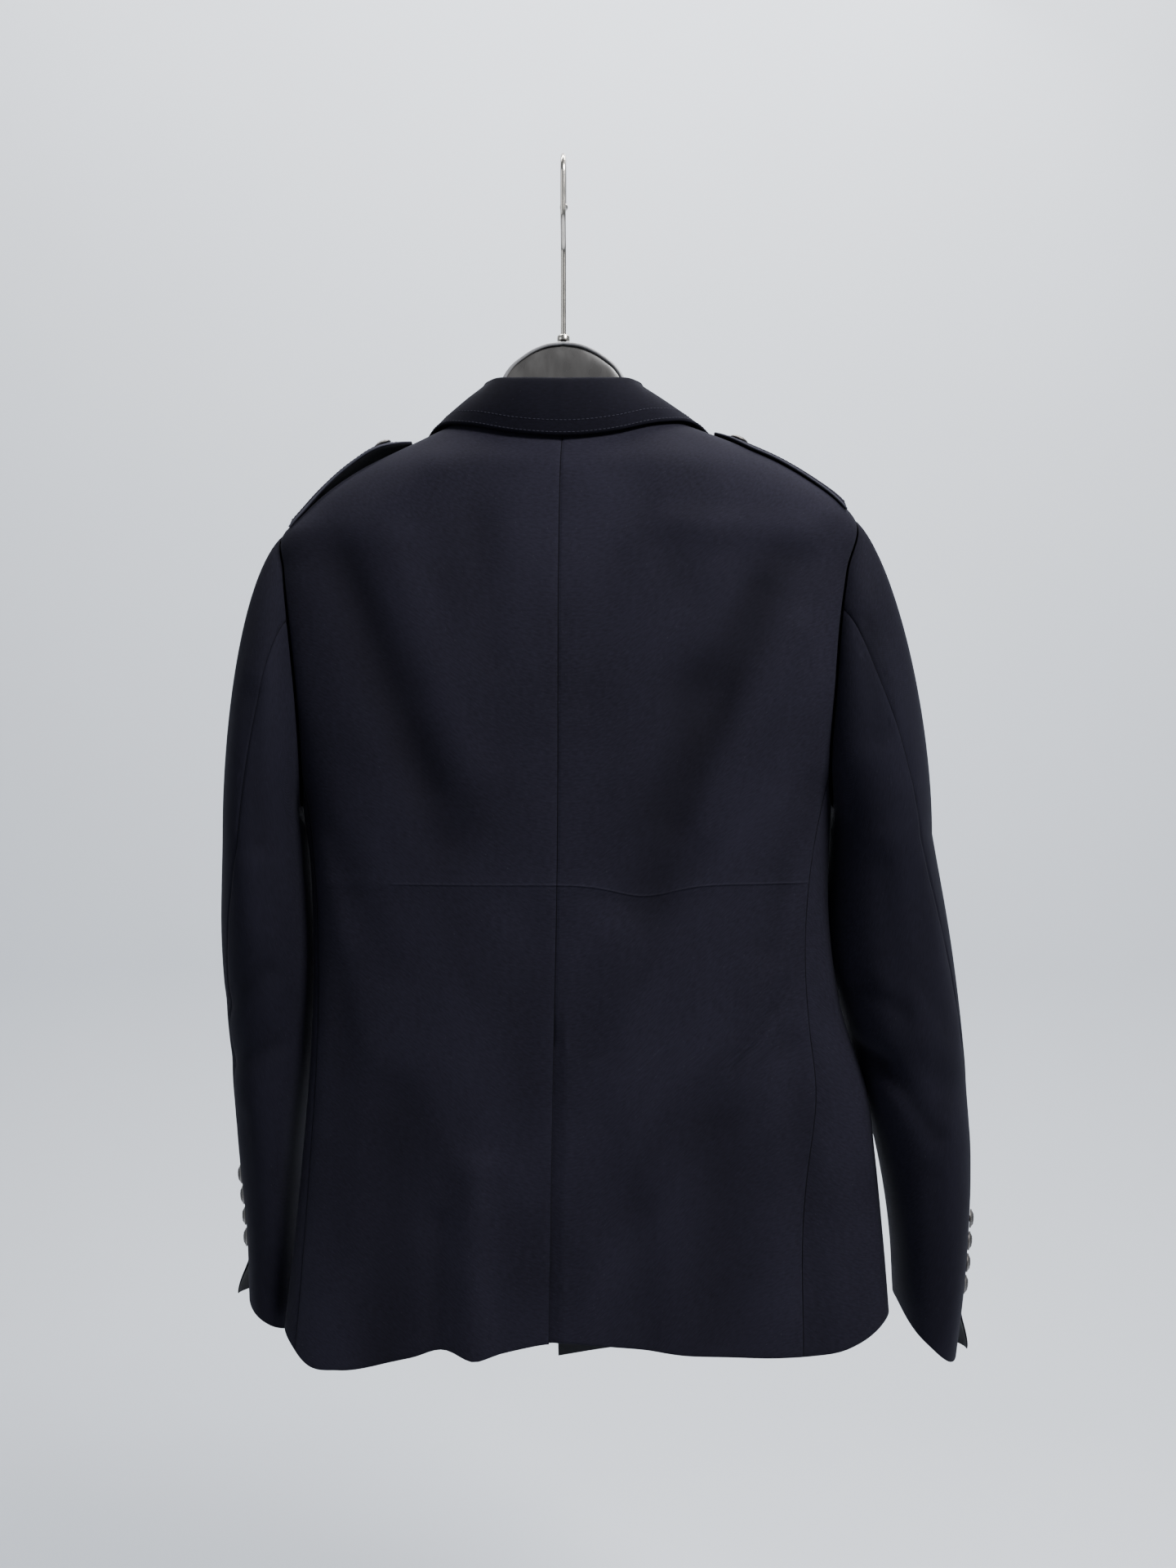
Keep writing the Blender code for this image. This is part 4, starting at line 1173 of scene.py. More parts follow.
    def back(self, side: int) -> None:
        """Back panel; the right one passes under the left below the vent's top.

        Args:
            side: 1 for the wearer's left.
        """
        turns = np.linspace(0, self.seam_turn, self.rows[1] + 1)
        heights, edges = self.edge_heights(side, turns, self.side_back[side < 0])
        middle = smooth(self.centre_back, heights)
        shares = close_ends(self.columns, (True, True), self.widths[0])
        if side > 0:
            start = self.form.back_angle(middle, heights)
            points, hint = self.form.surface(start[:, None] + (edges - start)[:, None] * shares,
                                             heights[:, None], side)
            self.piece("back_left", points, hint)
            return
        lap = ramp(heights, self.vent_top - self.lap_below[0], self.vent_top - self.lap_below[1])
        under = middle + self.underlap * lap
        third = middle - self.dive_run
        near = np.linspace(0, 1, self.flap_columns)
        flap = under[:, None] + (third - under)[:, None] * near
        first = self.form.back_angle(flap, heights[:, None])
        rest = first[:, -1:] + (edges[:, None] - first[:, -1:]) * shares[1:]
        points, hint = self.form.surface(np.concatenate([first, rest], 1), heights[:, None], side)
        deep = ramp(points[..., 0], third[:, None], middle[:, None] - self.tuck[0]) \
            * ramp(heights, self.vent_top + self.lap_above, self.vent_top)[:, None]
        points[..., :2] -= hint[..., :2] * (self.dive * deep)[..., None]
        self.piece("back_right", points, hint)

    def side(self, side: int) -> None:
        """Panel under the arm, between the two side seams; its first rows follow the armhole.

        Args:
            side: 1 for the wearer's left.
        """
        turns = np.linspace(self.seam_turn, 360 - self.seam_turn, self.side_columns)
        angle, height = self.form.armhole(side, turns)
        down = close_ends(self.rows[2], (True, True), self.side_lengths[1])[:, None]
        follow = np.clip(1 - down * self.rows[2] / self.level_rows, 0, 1)
        heights = height[0] + (self.form.hem - height[0]) * down
        heights = heights + (height - height[0]) * follow
        back = side * smooth(self.side_back[side < 0], heights)
        front = side * smooth(self.side_front[side < 0], heights)
        angles = back + (front - back) * np.linspace(0, 1, len(turns))
        angles = angles + (angle - angles[:1]) * follow
        points, hint = self.form.surface(angles, heights, side)
        self.piece("side_" + word(side), points, hint)

    def front_edge(self, side: int, heights: Array) -> Array:
        """A front's inner edge: straight below the break, the roll line above it.

        Args:
            side: 1 for the wearer's left.
            heights: Nominal heights.

        Returns:
            Places across.
        """
        top, foot = self.form.neck, self.form.hem
        straight = self.lean * (top - heights) / (top - foot) - side * self.overlap
        at_break = self.lean * (top - self.break_at) / (top - foot) - side * self.overlap
        share = (heights - self.break_at) / (top - self.break_at)
        return np.where(heights < self.break_at, straight,
                        at_break + share * (side * self.roll_top - at_break))

    def front_dive(self, heights: Array) -> Array:
        """How far the right front is in where the left front laps over it, as a share."""
        return ramp(self.front_edge(-1, heights) - self.front_edge(1, heights), *self.dive_overlap)

    def front(self, side: int) -> None:
        """Front panel, from the side seam to its edge and roll line.

        Args:
            side: 1 for the wearer's left.
        """
        turns = np.linspace(0, self.seam_turn, self.rows[1] + 1)
        heights, edges = self.edge_heights(side, -turns, self.side_front[side < 0])
        inner = self.front_edge(side, heights)
        shares = close_ends(self.columns, (True, True), self.widths[1])
        if side > 0:
            start = np.mod(self.form.front_angle(inner, heights), 360)
            angles = start[:, None] + (edges - start)[:, None] * shares
            points, hint = self.form.surface(angles, heights[:, None], side)
            self.piece("front_left", points, hint)
            return
        second = np.minimum(inner - self.tuck[1], self.front_edge(1, heights) - self.tuck[0])
        third = second - self.dive_run
        near = np.linspace(0, 1, self.flap_columns)
        flap = inner[:, None] + (third - inner)[:, None] * near
        first = np.mod(self.form.front_angle(flap, heights[:, None]), 360) - 360
        rest = first[:, -1:] + (edges[:, None] - first[:, -1:]) * shares[1:]
        points, hint = self.form.surface(np.concatenate([first, rest], 1), heights[:, None], side)
        deep = ramp(points[..., 0], third[:, None], second[:, None]) * self.front_dive(heights)[:, None]
        points[..., :2] -= hint[..., :2] * (self.dive * deep)[..., None]
        self.piece("front_right", points, hint)

    def build(self) -> None:
        """All six panels."""
        for side in (LEFT, RIGHT):
            self.back(side)
            self.side(side)
            self.front(side)


@dataclass
class Lapels:
    """The fronts' facings, turned out from the roll line, with stitching along their edges."""

    form: BodyForm
    panels: Panels
    finish: Finishes
    shape: Table = ((0.00, 0.070, 0.040), (0.10, 0.078, 0.034), (0.30, 0.070, 0.026), (0.60, 0.045, 0.014),
                    (0.85, 0.018, 0.004), (1.00, 0.004, 0.000))
    top: float = -0.250
    foot: float = -0.585
    stitch_rows: Pair = (0.0025, 0.0110)
    stitched_from: float = 0.004
    grid: tuple[int, int] = (80, 24)
    width: float = 0.06
    bow: float = 0.002

    def build(self) -> None:
        """Both lapels, lifted off the front by sin(pi t) between their two edges."""
        for side in (LEFT, RIGHT):
            down = np.linspace(0, 1, self.grid[0])
            roll = self.top + (self.foot - self.top) * down
            start = self.panels.front_edge(side, roll)
            if side < 0:
                start = np.minimum(start, self.panels.front_edge(1, roll) - 0.0015)
            share = close_ends(self.grid[1], (True, True), self.width)
            heights = roll[:, None] - smooth(self.shape, down, 2)[:, None] * share
            across = start[:, None] + side * smooth(self.shape, down)[:, None] * share
            points, hint = self.form.surface(self.form.front_angle(across, heights), heights, side)
            lift = LAYER + STAND_OFF + self.bow * np.sin(np.pi * share) * (1 - down[:, None])
            if side < 0:
                near = ramp(self.panels.front_edge(1, heights) - across, self.panels.dive_run, 0.001)
                lift = lift - self.panels.dive * near * self.panels.front_dive(heights)
            points = points + hint * lift[..., None]
            normals = grid_normals(points, hint)
            borders = (Border.FOLD, Border.FOLD, Border.FOLD, Border.FOLD)
            name = "lapel_" + word(side)
            ClothPiece(name, points, normals, borders, self.finish.wool, self.finish.wool).build()
            self.stitches(name, points, normals)

    def stitches(self, name: str, points: Array, normals: Array) -> None:
        """Two rows along the outer edge, at set distances from it.

        Args:
            name: The lapel's name.
            points: Its grid.
            normals: Its normals.
        """
        away = lengths(points, 1)
        rows = []
        for distance in self.stitch_rows:
            wanted = away[:, -1] - distance
            column = np.argmin(np.abs(away - wanted[:, None]), axis=1)
            fit = wanted > self.stitched_from
            line = self.between(points, away, wanted)
            rows.append((line[fit], normals[np.arange(len(points)), column][fit]))
        Stitching().build(name + "_stitching", rows, self.finish.thread)

    @staticmethod
    def between(points: Array, away: Array, wanted: Array) -> Array:
        """Points of a grid at a wanted distance along each of its rows.

        Args:
            points: The grid.
            away: Distances along its rows.
            wanted: One distance for each row.

        Returns:
            One point for each row.
        """
        i = np.clip(np.sum(away < wanted[:, None], axis=1) - 1, 0, away.shape[1] - 2)
        r = np.arange(len(points))
        t = (wanted - away[r, i]) / np.maximum(away[r, i + 1] - away[r, i], 1e-9)
        return points[r, i] + (points[r, i + 1] - points[r, i]) * t[:, None]


@dataclass
class Collar:
    """Collar fall with its turn over the fold line, the stand inside it and two rows of stitching."""

    form: BodyForm
    finish: Finishes
    line: Table = (
        (0.00, 0.000, 0.0490, -0.1845, 0.0, -0.2150), (0.25, 0.034, 0.0440, -0.1830, 21.0, -0.2140),
        (0.50, 0.057, 0.0260, -0.1800, 52.0, -0.2140), (0.70, 0.066, 0.0000, -0.1830, 90.0, -0.2190),
        (0.85, 0.066, -0.0260, -0.2030, 122.0, -0.2340), (1.00, 0.057, -0.0530, -0.2380, 142.0, -0.2500))
    turn: Table = ((-0.0074, -0.0070), (-0.0072, -0.0040), (-0.0048, -0.0006), (-0.0018, -0.0008),
                   (0.0006, -0.0040))
    lift: float = 0.0044
    oval: Pair = (0.066, 0.049)
    right_rise: float = 0.0026
    shoulder: float = 0.70
    stand_end: float = 0.667
    stations: int = 170
    stitch_rows: Pair = (0.0022, 0.0112)
    bow: float = 0.0025
    taper: float = 0.65
    taper_from: float = 0.7
    fall_shares: Triple = (0.30, 0.65, 1.00)
    inner_share: float = 0.30
    band: float = 0.0012

    def grid(self, stations: Array) -> Arrays:
        """Outer points: up inside the neck, over the fold and down to the edge.

        Args:
            stations: Places round the neck, -1 and 1 at the collar's ends.

        Returns:
            Eight rows of points, and the outward directions at the stations.
        """
        way = np.where(stations < 0, -1.0, 1.0)
        place = np.abs(stations)
        fold = np.stack([way * smooth(self.line, place, 1), smooth(self.line, place, 2),
                         smooth(self.line, place, 3)], -1)
        rise = np.where(way < 0, self.right_rise, 0.0) * ramp(place, 0.0, 0.5)
        edge, edge_out = self.form.surface(way * smooth(self.line, place, 4),
                                           smooth(self.line, place, 5) + rise, 1)
        edge = edge + edge_out * self.lift
        outward = unit(fold / np.array([self.oval[0] ** 2, self.oval[1] ** 2, np.inf]))
        short = 1 - self.taper * ramp(place, self.taper_from, 1.0)
        up = np.array([0.0, 0.0, 1.0])
        rows = [fold + outward * out + up * (rise_by * np.where(out < -0.005, short, 1.0))[:, None]
                for out, rise_by in self.turn]
        last = rows[-1]
        rows += [last + (edge - last) * share + outward * self.bow * math.sin(math.pi * share)
                 for share in self.fall_shares]
        return np.array(rows), outward

    def build(self) -> None:
        """The fall, the stand and the stitching."""
        stations = np.linspace(-1, 1, self.stations + 1)
        rows, outward = self.grid(stations)
        shares = close_ends(52, (False, True), 0.06)
        points = resampled(rows, shares)
        hint = np.where(shares[:, None, None] < self.inner_share, -1.0, 1.0) * outward
        normals = unit(np.cross(np.gradient(points, axis=1), np.gradient(points, axis=0)))
        if np.sum(normals[-1] * hint[-1]) < 0:
            normals = -normals
        borders = (Border.SEAM, Border.FOLD, Border.FOLD, Border.FOLD)
        ClothPiece("collar", points, normals, borders, self.finish.collar, self.finish.underside).build()
        away = lengths(points[::-1], 0)[::-1].T
        swapped, facing = np.swapaxes(points, 0, 1), np.swapaxes(normals, 0, 1)
        down = away.max(axis=1, keepdims=True) - away
        lines = []
        for distance in self.stitch_rows:
            wanted = down[:, -1] - distance
            column = np.clip(np.sum(down < wanted[:, None], axis=1), 0, down.shape[1] - 1)
            lines.append((Lapels.between(swapped, down, wanted)[3:-3],
                          facing[np.arange(len(facing)), column][3:-3]))
        Stitching().build("collar_stitching", lines, self.finish.thread)
        self.stand()

    def stand(self) -> None:
        """Inner band, from the neck seam up to the fall's inner edge."""
        stations = np.linspace(-self.stand_end, self.stand_end, 100)
        rows, outward = self.grid(stations)
        level = np.full(len(stations), self.form.neck)
        neck, _ = self.form.surface(stations / self.shoulder * 90.0, level, 1)
        foot = neck - outward * WALL + np.array([0, 0, 2 * GAP])
        lean = unit(rows[0] - foot)
        drop = 3 * GAP + WALL * np.sqrt(1 - lean[:, 2:] ** 2)
        top = rows[0] - drop * np.array([0, 0, 1.0])
        points = resampled(np.array([foot, (foot + top) / 2, top]), np.linspace(0, 1, 10))
        borders = (Border.SEAM, Border.SEAM, Border.SEAM, Border.SEAM)
        normals = grid_normals(points, np.broadcast_to(-outward, points.shape))
        ClothPiece("collar_stand", points, normals, borders, self.finish.underside,
                   self.finish.underside, thick=self.band).build()


@dataclass
class Sleeves:
    """Two-piece sleeves that hang from the armholes, with folds at the elbow and a vent at the cuff."""

    form: BodyForm
    finish: Finishes
    rings: tuple[Table, Table] = (
        ((-0.535, 0.2045, 0.2699, -0.012, 0.072), (-0.620, 0.1990, 0.2734, -0.020, 0.068),
         (-0.700, 0.2005, 0.2704, -0.032, 0.063), (-0.790, 0.2120, 0.2650, -0.040, 0.057),
         (-0.870, 0.2150, 0.2605, -0.052, 0.053), (-0.928, 0.2150, 0.2600, -0.057, 0.051)),
        ((-0.535, 0.2125, 0.2935, -0.014, 0.070), (-0.620, 0.2100, 0.3106, -0.021, 0.066),
         (-0.700, 0.2295, 0.3198, -0.018, 0.062), (-0.790, 0.2520, 0.3255, -0.016, 0.057),
         (-0.870, 0.2642, 0.3220, -0.020, 0.053), (-0.930, 0.2685, 0.3150, -0.024, 0.051)))
    seams: tuple[Table, Table] = (
        ((0.00, 70.0, -110.0), (0.15, 78.0, -112.0), (0.30, 73.0, -114.0), (0.42, 54.0, -120.0),
         (0.53, 42.0, -126.0), (0.65, 32.0, -132.0), (0.80, 16.0, -140.0), (1.00, 12.0, -145.0)),
        ((0.00, 70.0, -110.0), (0.14, 71.0, -112.0), (0.30, 60.0, -114.0), (0.42, 45.0, -120.0),
         (0.55, 31.0, -126.0), (0.75, 16.0, -136.0), (1.00, 12.0, -145.0)))
    slant: Pair = (0.012, -0.018)
    drop: Pair = (0.0, 0.010)
    cap: float = 0.30
    leave: float = 0.00045
    flare: float = 0.011
    elbow: tuple[Pair, Pair] = ((-0.700, 0.0030), (-0.725, 0.0060))
    rows: tuple[int, int] = (34, 90)
    columns: tuple[int, int] = (60, 52)
    widths: Pair = (0.18, 0.15)
    elbow_reach: float = 0.022
    elbow_tilt: float = 0.5
    elbow_facing: Pair = (-0.2, 0.7)
    slant_from: float = 0.5
    drop_from: float = 0.6
    flare_down: Pair = (0.935, 1.0)
    flare_reach: float = 0.012
    leave_out: Pair = (0.004, 0.024)
    leave_back: float = 0.030
    leave_down: Pair = (0.004, 0.026)
    arrive: float = 0.38
    back_creases: Table = (
        (-0.225, -0.7016, -0.247, -0.714, 0.0075, -0.0030),
        (-0.247, -0.714, -0.2874, -0.767, 0.0085, -0.0030),
        (-0.240, -0.690, -0.292, -0.738, 0.0090, 0.0016),
        (-0.2345, -0.378, -0.238, -0.4586, 0.013, -0.0030),
        (-0.262, -0.500, -0.292, -0.640, 0.010, 0.0014), (-0.246, -0.560, -0.262, -0.680, 0.011, -0.0018),
        (-0.286, -0.800, -0.294, -0.930, 0.010, -0.0016), (-0.230, -0.655, -0.262, -0.672, 0.008, -0.0016),
        (-0.300, -0.690, -0.270, -0.640, 0.008, -0.0012), (0.242, -0.560, 0.240, -0.610, 0.012, 0.0022),
        (0.228, -0.640, 0.262, -0.668, 0.009, -0.0024), (0.222, -0.700, 0.262, -0.716, 0.008, -0.0020),
        (0.234, -0.430, 0.230, -0.540, 0.011, -0.0024), (0.252, -0.760, 0.236, -0.900, 0.009, -0.0018),
        (0.226, -0.740, 0.230, -0.860, 0.008, 0.0012))
    front_creases: Table = (
        (-0.230, -0.640, -0.290, -0.668, 0.011, -0.0040), (-0.250, -0.690, -0.306, -0.700, 0.010, -0.0030),
        (-0.246, -0.470, -0.262, -0.600, 0.014, -0.0028), (-0.270, -0.740, -0.290, -0.760, 0.010, -0.0022),
        (0.216, -0.640, 0.264, -0.654, 0.010, -0.0036), (0.220, -0.700, 0.262, -0.690, 0.009, -0.0028),
        (0.236, -0.460, 0.232, -0.590, 0.013, -0.0026), (0.238, -0.780, 0.242, -0.900, 0.010, -0.0016))

    def surface(self, side: int, down: Array, turn: Array) -> Array:
        """Points of a sleeve.

        Below the cap each level is an ellipse. The cap is a cubic curve from the armhole's edge, which
        leaves it outward, to the first ellipse.

        Args:
            side: 1 for the wearer's left.
            down: Place down the sleeve from 0 to 1.
            turn: Degrees round it, 0 outermost and 90 to the back.

        Returns:
            The points.
        """
        table = self.rings[side < 0]
        first, last = table[0][0], table[-1][0]
        lower = np.clip((down - self.cap) / (1 - self.cap), 0, 1)
        height = first + (last - first) * lower
        inner, outer = smooth(table, height, 1), smooth(table, height, 2)
        depth, half_depth = smooth(table, height, 3), smooth(table, height, 4)
        middle, half = (inner + outer) / 2, (outer - inner) / 2
        around = np.radians(turn)
        x = middle + half * np.cos(around)
        y = depth + half_depth * np.sin(around)
        slant = self.slant[side < 0] * np.cos(around) * ramp(lower, self.slant_from, 1.0)
        behind = ramp(np.sin(around), 0.0, 1.0)
        slant = slant - self.drop[side < 0] * behind * ramp(lower, self.drop_from, 1.0)
        fold_height, fold_depth = self.elbow[side < 0]
        tilt = height - fold_height + self.elbow_tilt * (x - middle)
        facing = ramp(np.sin(around), *self.elbow_facing)
        fold = fold_depth * np.exp(-(tilt / self.elbow_reach) ** 2) * facing
        below = np.stack([side * x, y - fold, height + slant], -1)
        angle, hole_height = self.form.armhole(side, turn)
        start, _ = self.form.surface(angle, hole_height, side)
        start = start + np.array([side * self.leave, 0, 0])
        top = (1 + np.cos(around)) / 2
        out, fall = self.leave_out, self.leave_down
        leave = np.stack([side * (out[0] + out[1] * top), self.leave_back * np.sin(around),
                          -fall[0] - fall[1] * top], -1)
        reach = np.stack([0 * top, 0 * top, self.arrive * (start[..., 2] - first)], -1)
        t = np.clip(down / self.cap, 0, 1)[..., None]
        cap = (1 - t) ** 3 * start + 3 * t * (1 - t) ** 2 * (start + leave) \
            + 3 * t * t * (1 - t) * (below + reach) + t ** 3 * below
        return np.where(t < 1, cap, below)

    def seam(self, side: int, down: Array) -> Arrays:
        """Turns of the back and front seams at places down the sleeve."""
        return smooth(self.seams[side < 0], down, 1), smooth(self.seams[side < 0], down, 2)

    def build(self) -> None:
        """Top sleeve and under sleeve of both sides; the top one's vent edge stands off at the cuff."""
        shares = np.concatenate([np.linspace(0, self.cap, self.rows[0] + 1)[:-1],
                                 self.cap + (1 - self.cap) * close_ends(self.rows[1], (False, True), 0.4)])
        down = shares[:, None]
        for side in (LEFT, RIGHT):
            back, front = self.seam(side, down)
            columns = close_ends(self.columns[0], (True, True), self.widths[0])
            top = self.surface(side, down, front + (back - front) * columns)
            columns = close_ends(self.columns[1], (True, True), self.widths[1])
            under = self.surface(side, down, back + (front + 360 - back) * columns)
            middle = (top.mean(1, keepdims=True) + under.mean(1, keepdims=True)) / 2
            for name, points in (("top", top), ("under", under)):
                points, normals, move = creased(points, points - middle, self.back_creases,
                                                self.front_creases)
                if name == "top":
                    edge = np.exp(-(lengths(points[:, ::-1], 1)[:, ::-1] / self.flare_reach) ** 2)
                    lift = self.flare * ramp(down, *self.flare_down) * edge
                    points = points + normals * lift[..., None]
                    normals = grid_normals(points, normals)
                borders = (Border.SEAM, Border.FOLD, Border.SEAM, Border.SEAM)
                ClothPiece(f"sleeve_{name}_{word(side)}", points, normals, borders, self.finish.sleeve,
                           self.finish.lining, folds=move).build()


@dataclass
class ShoulderStraps:
    """Pointed straps from the sleeve seams to the collar, edged with a fine cord."""

    form: BodyForm
    finish: Finishes
    shape: tuple[Table, Table] = (
        ((0.00, 0.0235, 0.0030), (0.25, 0.0225, 0.0058), (0.55, 0.0215, 0.0096), (0.78, 0.0200, 0.0108),
         (0.90, 0.0110, 0.0074), (1.00, 0.0020, 0.0040)),
        ((0.00, 0.0230, 0.0035), (0.25, 0.0225, 0.0038), (0.55, 0.0215, 0.0042), (0.78, 0.0200, 0.0042),
         (0.90, 0.0110, 0.0040), (1.00, 0.0020, 0.0038)))
    span: tuple[Pair, Pair] = ((0.2125, 0.1195), (0.2200, 0.1195))
    thick: float = 0.0022
    cord: float = 0.0008
    grid: tuple[int, int] = (70, 29)
    length: float = 0.10
    stitch_columns: tuple[int, int] = (3, -4)

    def surface(self, side: int, share: Array, across: Array) -> Arrays:
        """A strap's outer side.

        Args:
            side: 1 for the wearer's left.
            share: Place along it, 1 at its point.
            across: Place across it from -1 to 1.

        Returns:
            Points and the directions out of the cloth under them.
        """
        start, tip = self.span[side < 0]
        out = start + (tip - start) * share
        half, lift = smooth(self.shape[side < 0], share), smooth(self.shape[side < 0], share, 2)
        up = self.form.over_shoulder(side, out, np.zeros_like(out))[1]
        points, _ = self.form.over_shoulder(side, out, across * half)
        return points + up * lift[..., None], up

    def build(self) -> None:
        """Both straps, their cords and their stitching."""
        for side in (LEFT, RIGHT):
            shares = close_ends(self.grid[0], (False, True), self.length)
            share, across = np.meshgrid(shares, np.linspace(-1, 1, self.grid[1]), indexing="ij")
            points, up = self.surface(side, share, across)
            normals = grid_normals(points, up)
            name = "epaulette_" + word(side)
            borders = (Border.SEAM, Border.FOLD, Border.FOLD, Border.FOLD)
            ClothPiece(name, points, normals, borders, self.finish.wool, self.finish.underside,
                       thick=self.thick).build()
            rim = np.concatenate([points[:, 0], points[-1, 1:-1], points[::-1, -1]])
            out = np.concatenate([normals[:, 0], normals[-1, 1:-1], normals[::-1, -1]])
            cord = tube(rim - out * self.cord * 1.1, self.cord, 8)
            settle(add_mesh(name + "_cord", *cord, [self.finish.piping]), "cloth")
            rows = [(points[:-8, k], normals[:-8, k]) for k in self.stitch_columns]
            Stitching().build(name + "_stitching", rows, self.finish.thread)


@dataclass
class Buttons:
    """Domed metal buttons with a rope rim, two raised rings and small beads, each on a shank."""

    form: BodyForm
    panels: Panels
    sleeves: Sleeves
    straps: ShoulderStraps
    finish: Finishes
    small: float = 0.0076
    large: float = 0.0100
    height: float = 0.0040
    front_heights: Pair = (-0.618, -0.722)
    cuff_places: tuple[Pair, Pair] = ((0.812, 0.918), (0.834, 0.919))
    cuff_turn: float = 2.0
    cuff_count: int = 4
    cuff_shank: float = 0.0022
    cuff_lean: float = 0.27
    strap_at: Pair = (0.139, 0.1375)
    sides: int = 96
    rounds: int = 44
    dome: tuple[float, float, float, float] = (0.36, 0.52, 0.84, 0.6)
    edge_drop: float = 0.34
    edge_from: float = 0.95
    fit: float = 0.985
    stem: float = 0.32
    seat: float = 0.0006
    rope: Triple = (0.13, 0.91, 0.050)
    rings: Table = ((0.050, 0.74, 0.022), (0.040, 0.30, 0.022))
    beads: Triple = (0.080, 0.52, 0.085)
    dots: Triple = (0.012, 0.62, 0.09)
    back_levels: Triple = (0.14, 0.08, 0.08)
    back_reaches: Triple = (1.0, 0.90, 0.0)

    @staticmethod
    def ridge(r: Array, row: tuple[float, ...]) -> Array:
        """Round ridge across the radius: height * exp(-((r - place) / reach)^2).

        Args:
            r: Shares of the radius.
            row: Height, place and reach.

        Returns:
            Heights.
        """
        height, place, reach = row
        return height * np.exp(-((r - place) / reach) ** 2)

    def one(self, name: str, point: Array, normal: Array, radius: float, shank: float = 0.0) -> None:
        """One button: height = dome (1 - r^2)^0.6 with rope rim, rings and eight beads raised on it.

        Args:
            name: The node that it stands for.
            point: Place on the cloth.
            normal: Direction out of the cloth.
            radius: The button's radius.
            shank: Height of its back over the cloth.
        """
        normal = unit(np.asarray(normal, float))
        one = unit(np.cross(normal, [0.0, 0.3, 1.0]))
        two = np.cross(normal, one)
        turn = np.linspace(0, 2 * np.pi, self.sides, endpoint=False)[None]
        r = np.linspace(0, 1, self.rounds)[:, None]
        base, rise, wide, power = self.dome
        dome = rise * np.maximum(1 - (r / wide) ** 2, 0) ** power + base
        relief = self.ridge(r, self.rope) * (0.72 + 0.28 * np.sin(30 * turn + 26 * r))
        relief = relief + self.ridge(r, self.rings[0]) + self.ridge(r, self.rings[1])
        relief = relief + self.ridge(r, self.beads) * np.maximum(np.cos(8 * turn), 0) ** 2
        relief = relief + self.ridge(r, self.dots) * np.cos(24 * turn)
        top = (dome + relief) * (1 - self.edge_drop * ramp(r, self.edge_from, 1.0))
        back = np.array(self.back_levels)[:, None] + 0 * turn
        levels = np.concatenate([top, back])
        reach = np.concatenate([r, np.array(self.back_reaches)[:, None]]) * radius * self.fit
        circle = np.cos(turn)[..., None] * one + np.sin(turn)[..., None] * two
        points = point + circle * reach[..., None] + normal * (levels * self.height)[..., None]
        tone = np.concatenate([relief * 7.0, 0 * back])
        uv = np.stack([np.clip(tone, 0, 1), 0 * tone], -1).reshape(-1, 2)
        faces = grid_faces(len(levels), self.sides, wrap=True)
        down = np.array([[-self.seat - shank], [0.0001 - shank / 2], [self.seat]])
        stem = tube(point + normal * down, radius * self.stem, 16)
        points, faces = merged([(points.reshape(-1, 3), faces), stem])
        uv = np.concatenate([uv, np.zeros((len(points) - len(uv), 2))])
        item = add_mesh(name + "_metal", points, faces, [self.finish.metal], uv=uv, sharp=60.0)
        settle(item, "button", name)

    def build(self) -> None:
        """Front, shoulder strap and cuff buttons."""
        for row, height in enumerate(self.front_heights):
            centre = self.panels.front_edge(1, np.array(height)) + self.panels.overlap
            point, normal = self.form.surface(self.form.front_angle(centre, np.array(height)), height, 1)
            self.one(f"front_button_{row + 1}", point + normal * GAP, normal, self.large)
        for side in (LEFT, RIGHT):
            start, tip = self.straps.span[side < 0]
            share = np.array([(self.strap_at[side < 0] - start) / (tip - start)])
            point, normal = self.straps.surface(side, share, np.array([0.0]))
            self.one("epaulette_button_" + word(side), point[0] + normal[0] * GAP, normal[0], self.small)
            for row, down in enumerate(np.linspace(*self.cuff_places[side < 0], self.cuff_count)):
                turn = np.array(self.cuff_turn)
                point = self.sleeves.surface(side, np.array(down), turn)
                ahead = self.sleeves.surface(side, np.array(down + 0.01), turn) - point
                normal = np.cross(ahead, [0.0, 1.0, 0.0])
                normal = unit(normal * np.sign(normal[0]) * side)
                point = point + normal * (GAP + self.cuff_shank)
                leaning = normal + np.array([0.0, self.cuff_lean + 0.04 * math.sin(2.3 * row), 0.0])
                self.one(f"cuff_button_{word(side)}_{row + 1}", point, leaning, self.small,
                         self.cuff_shank)


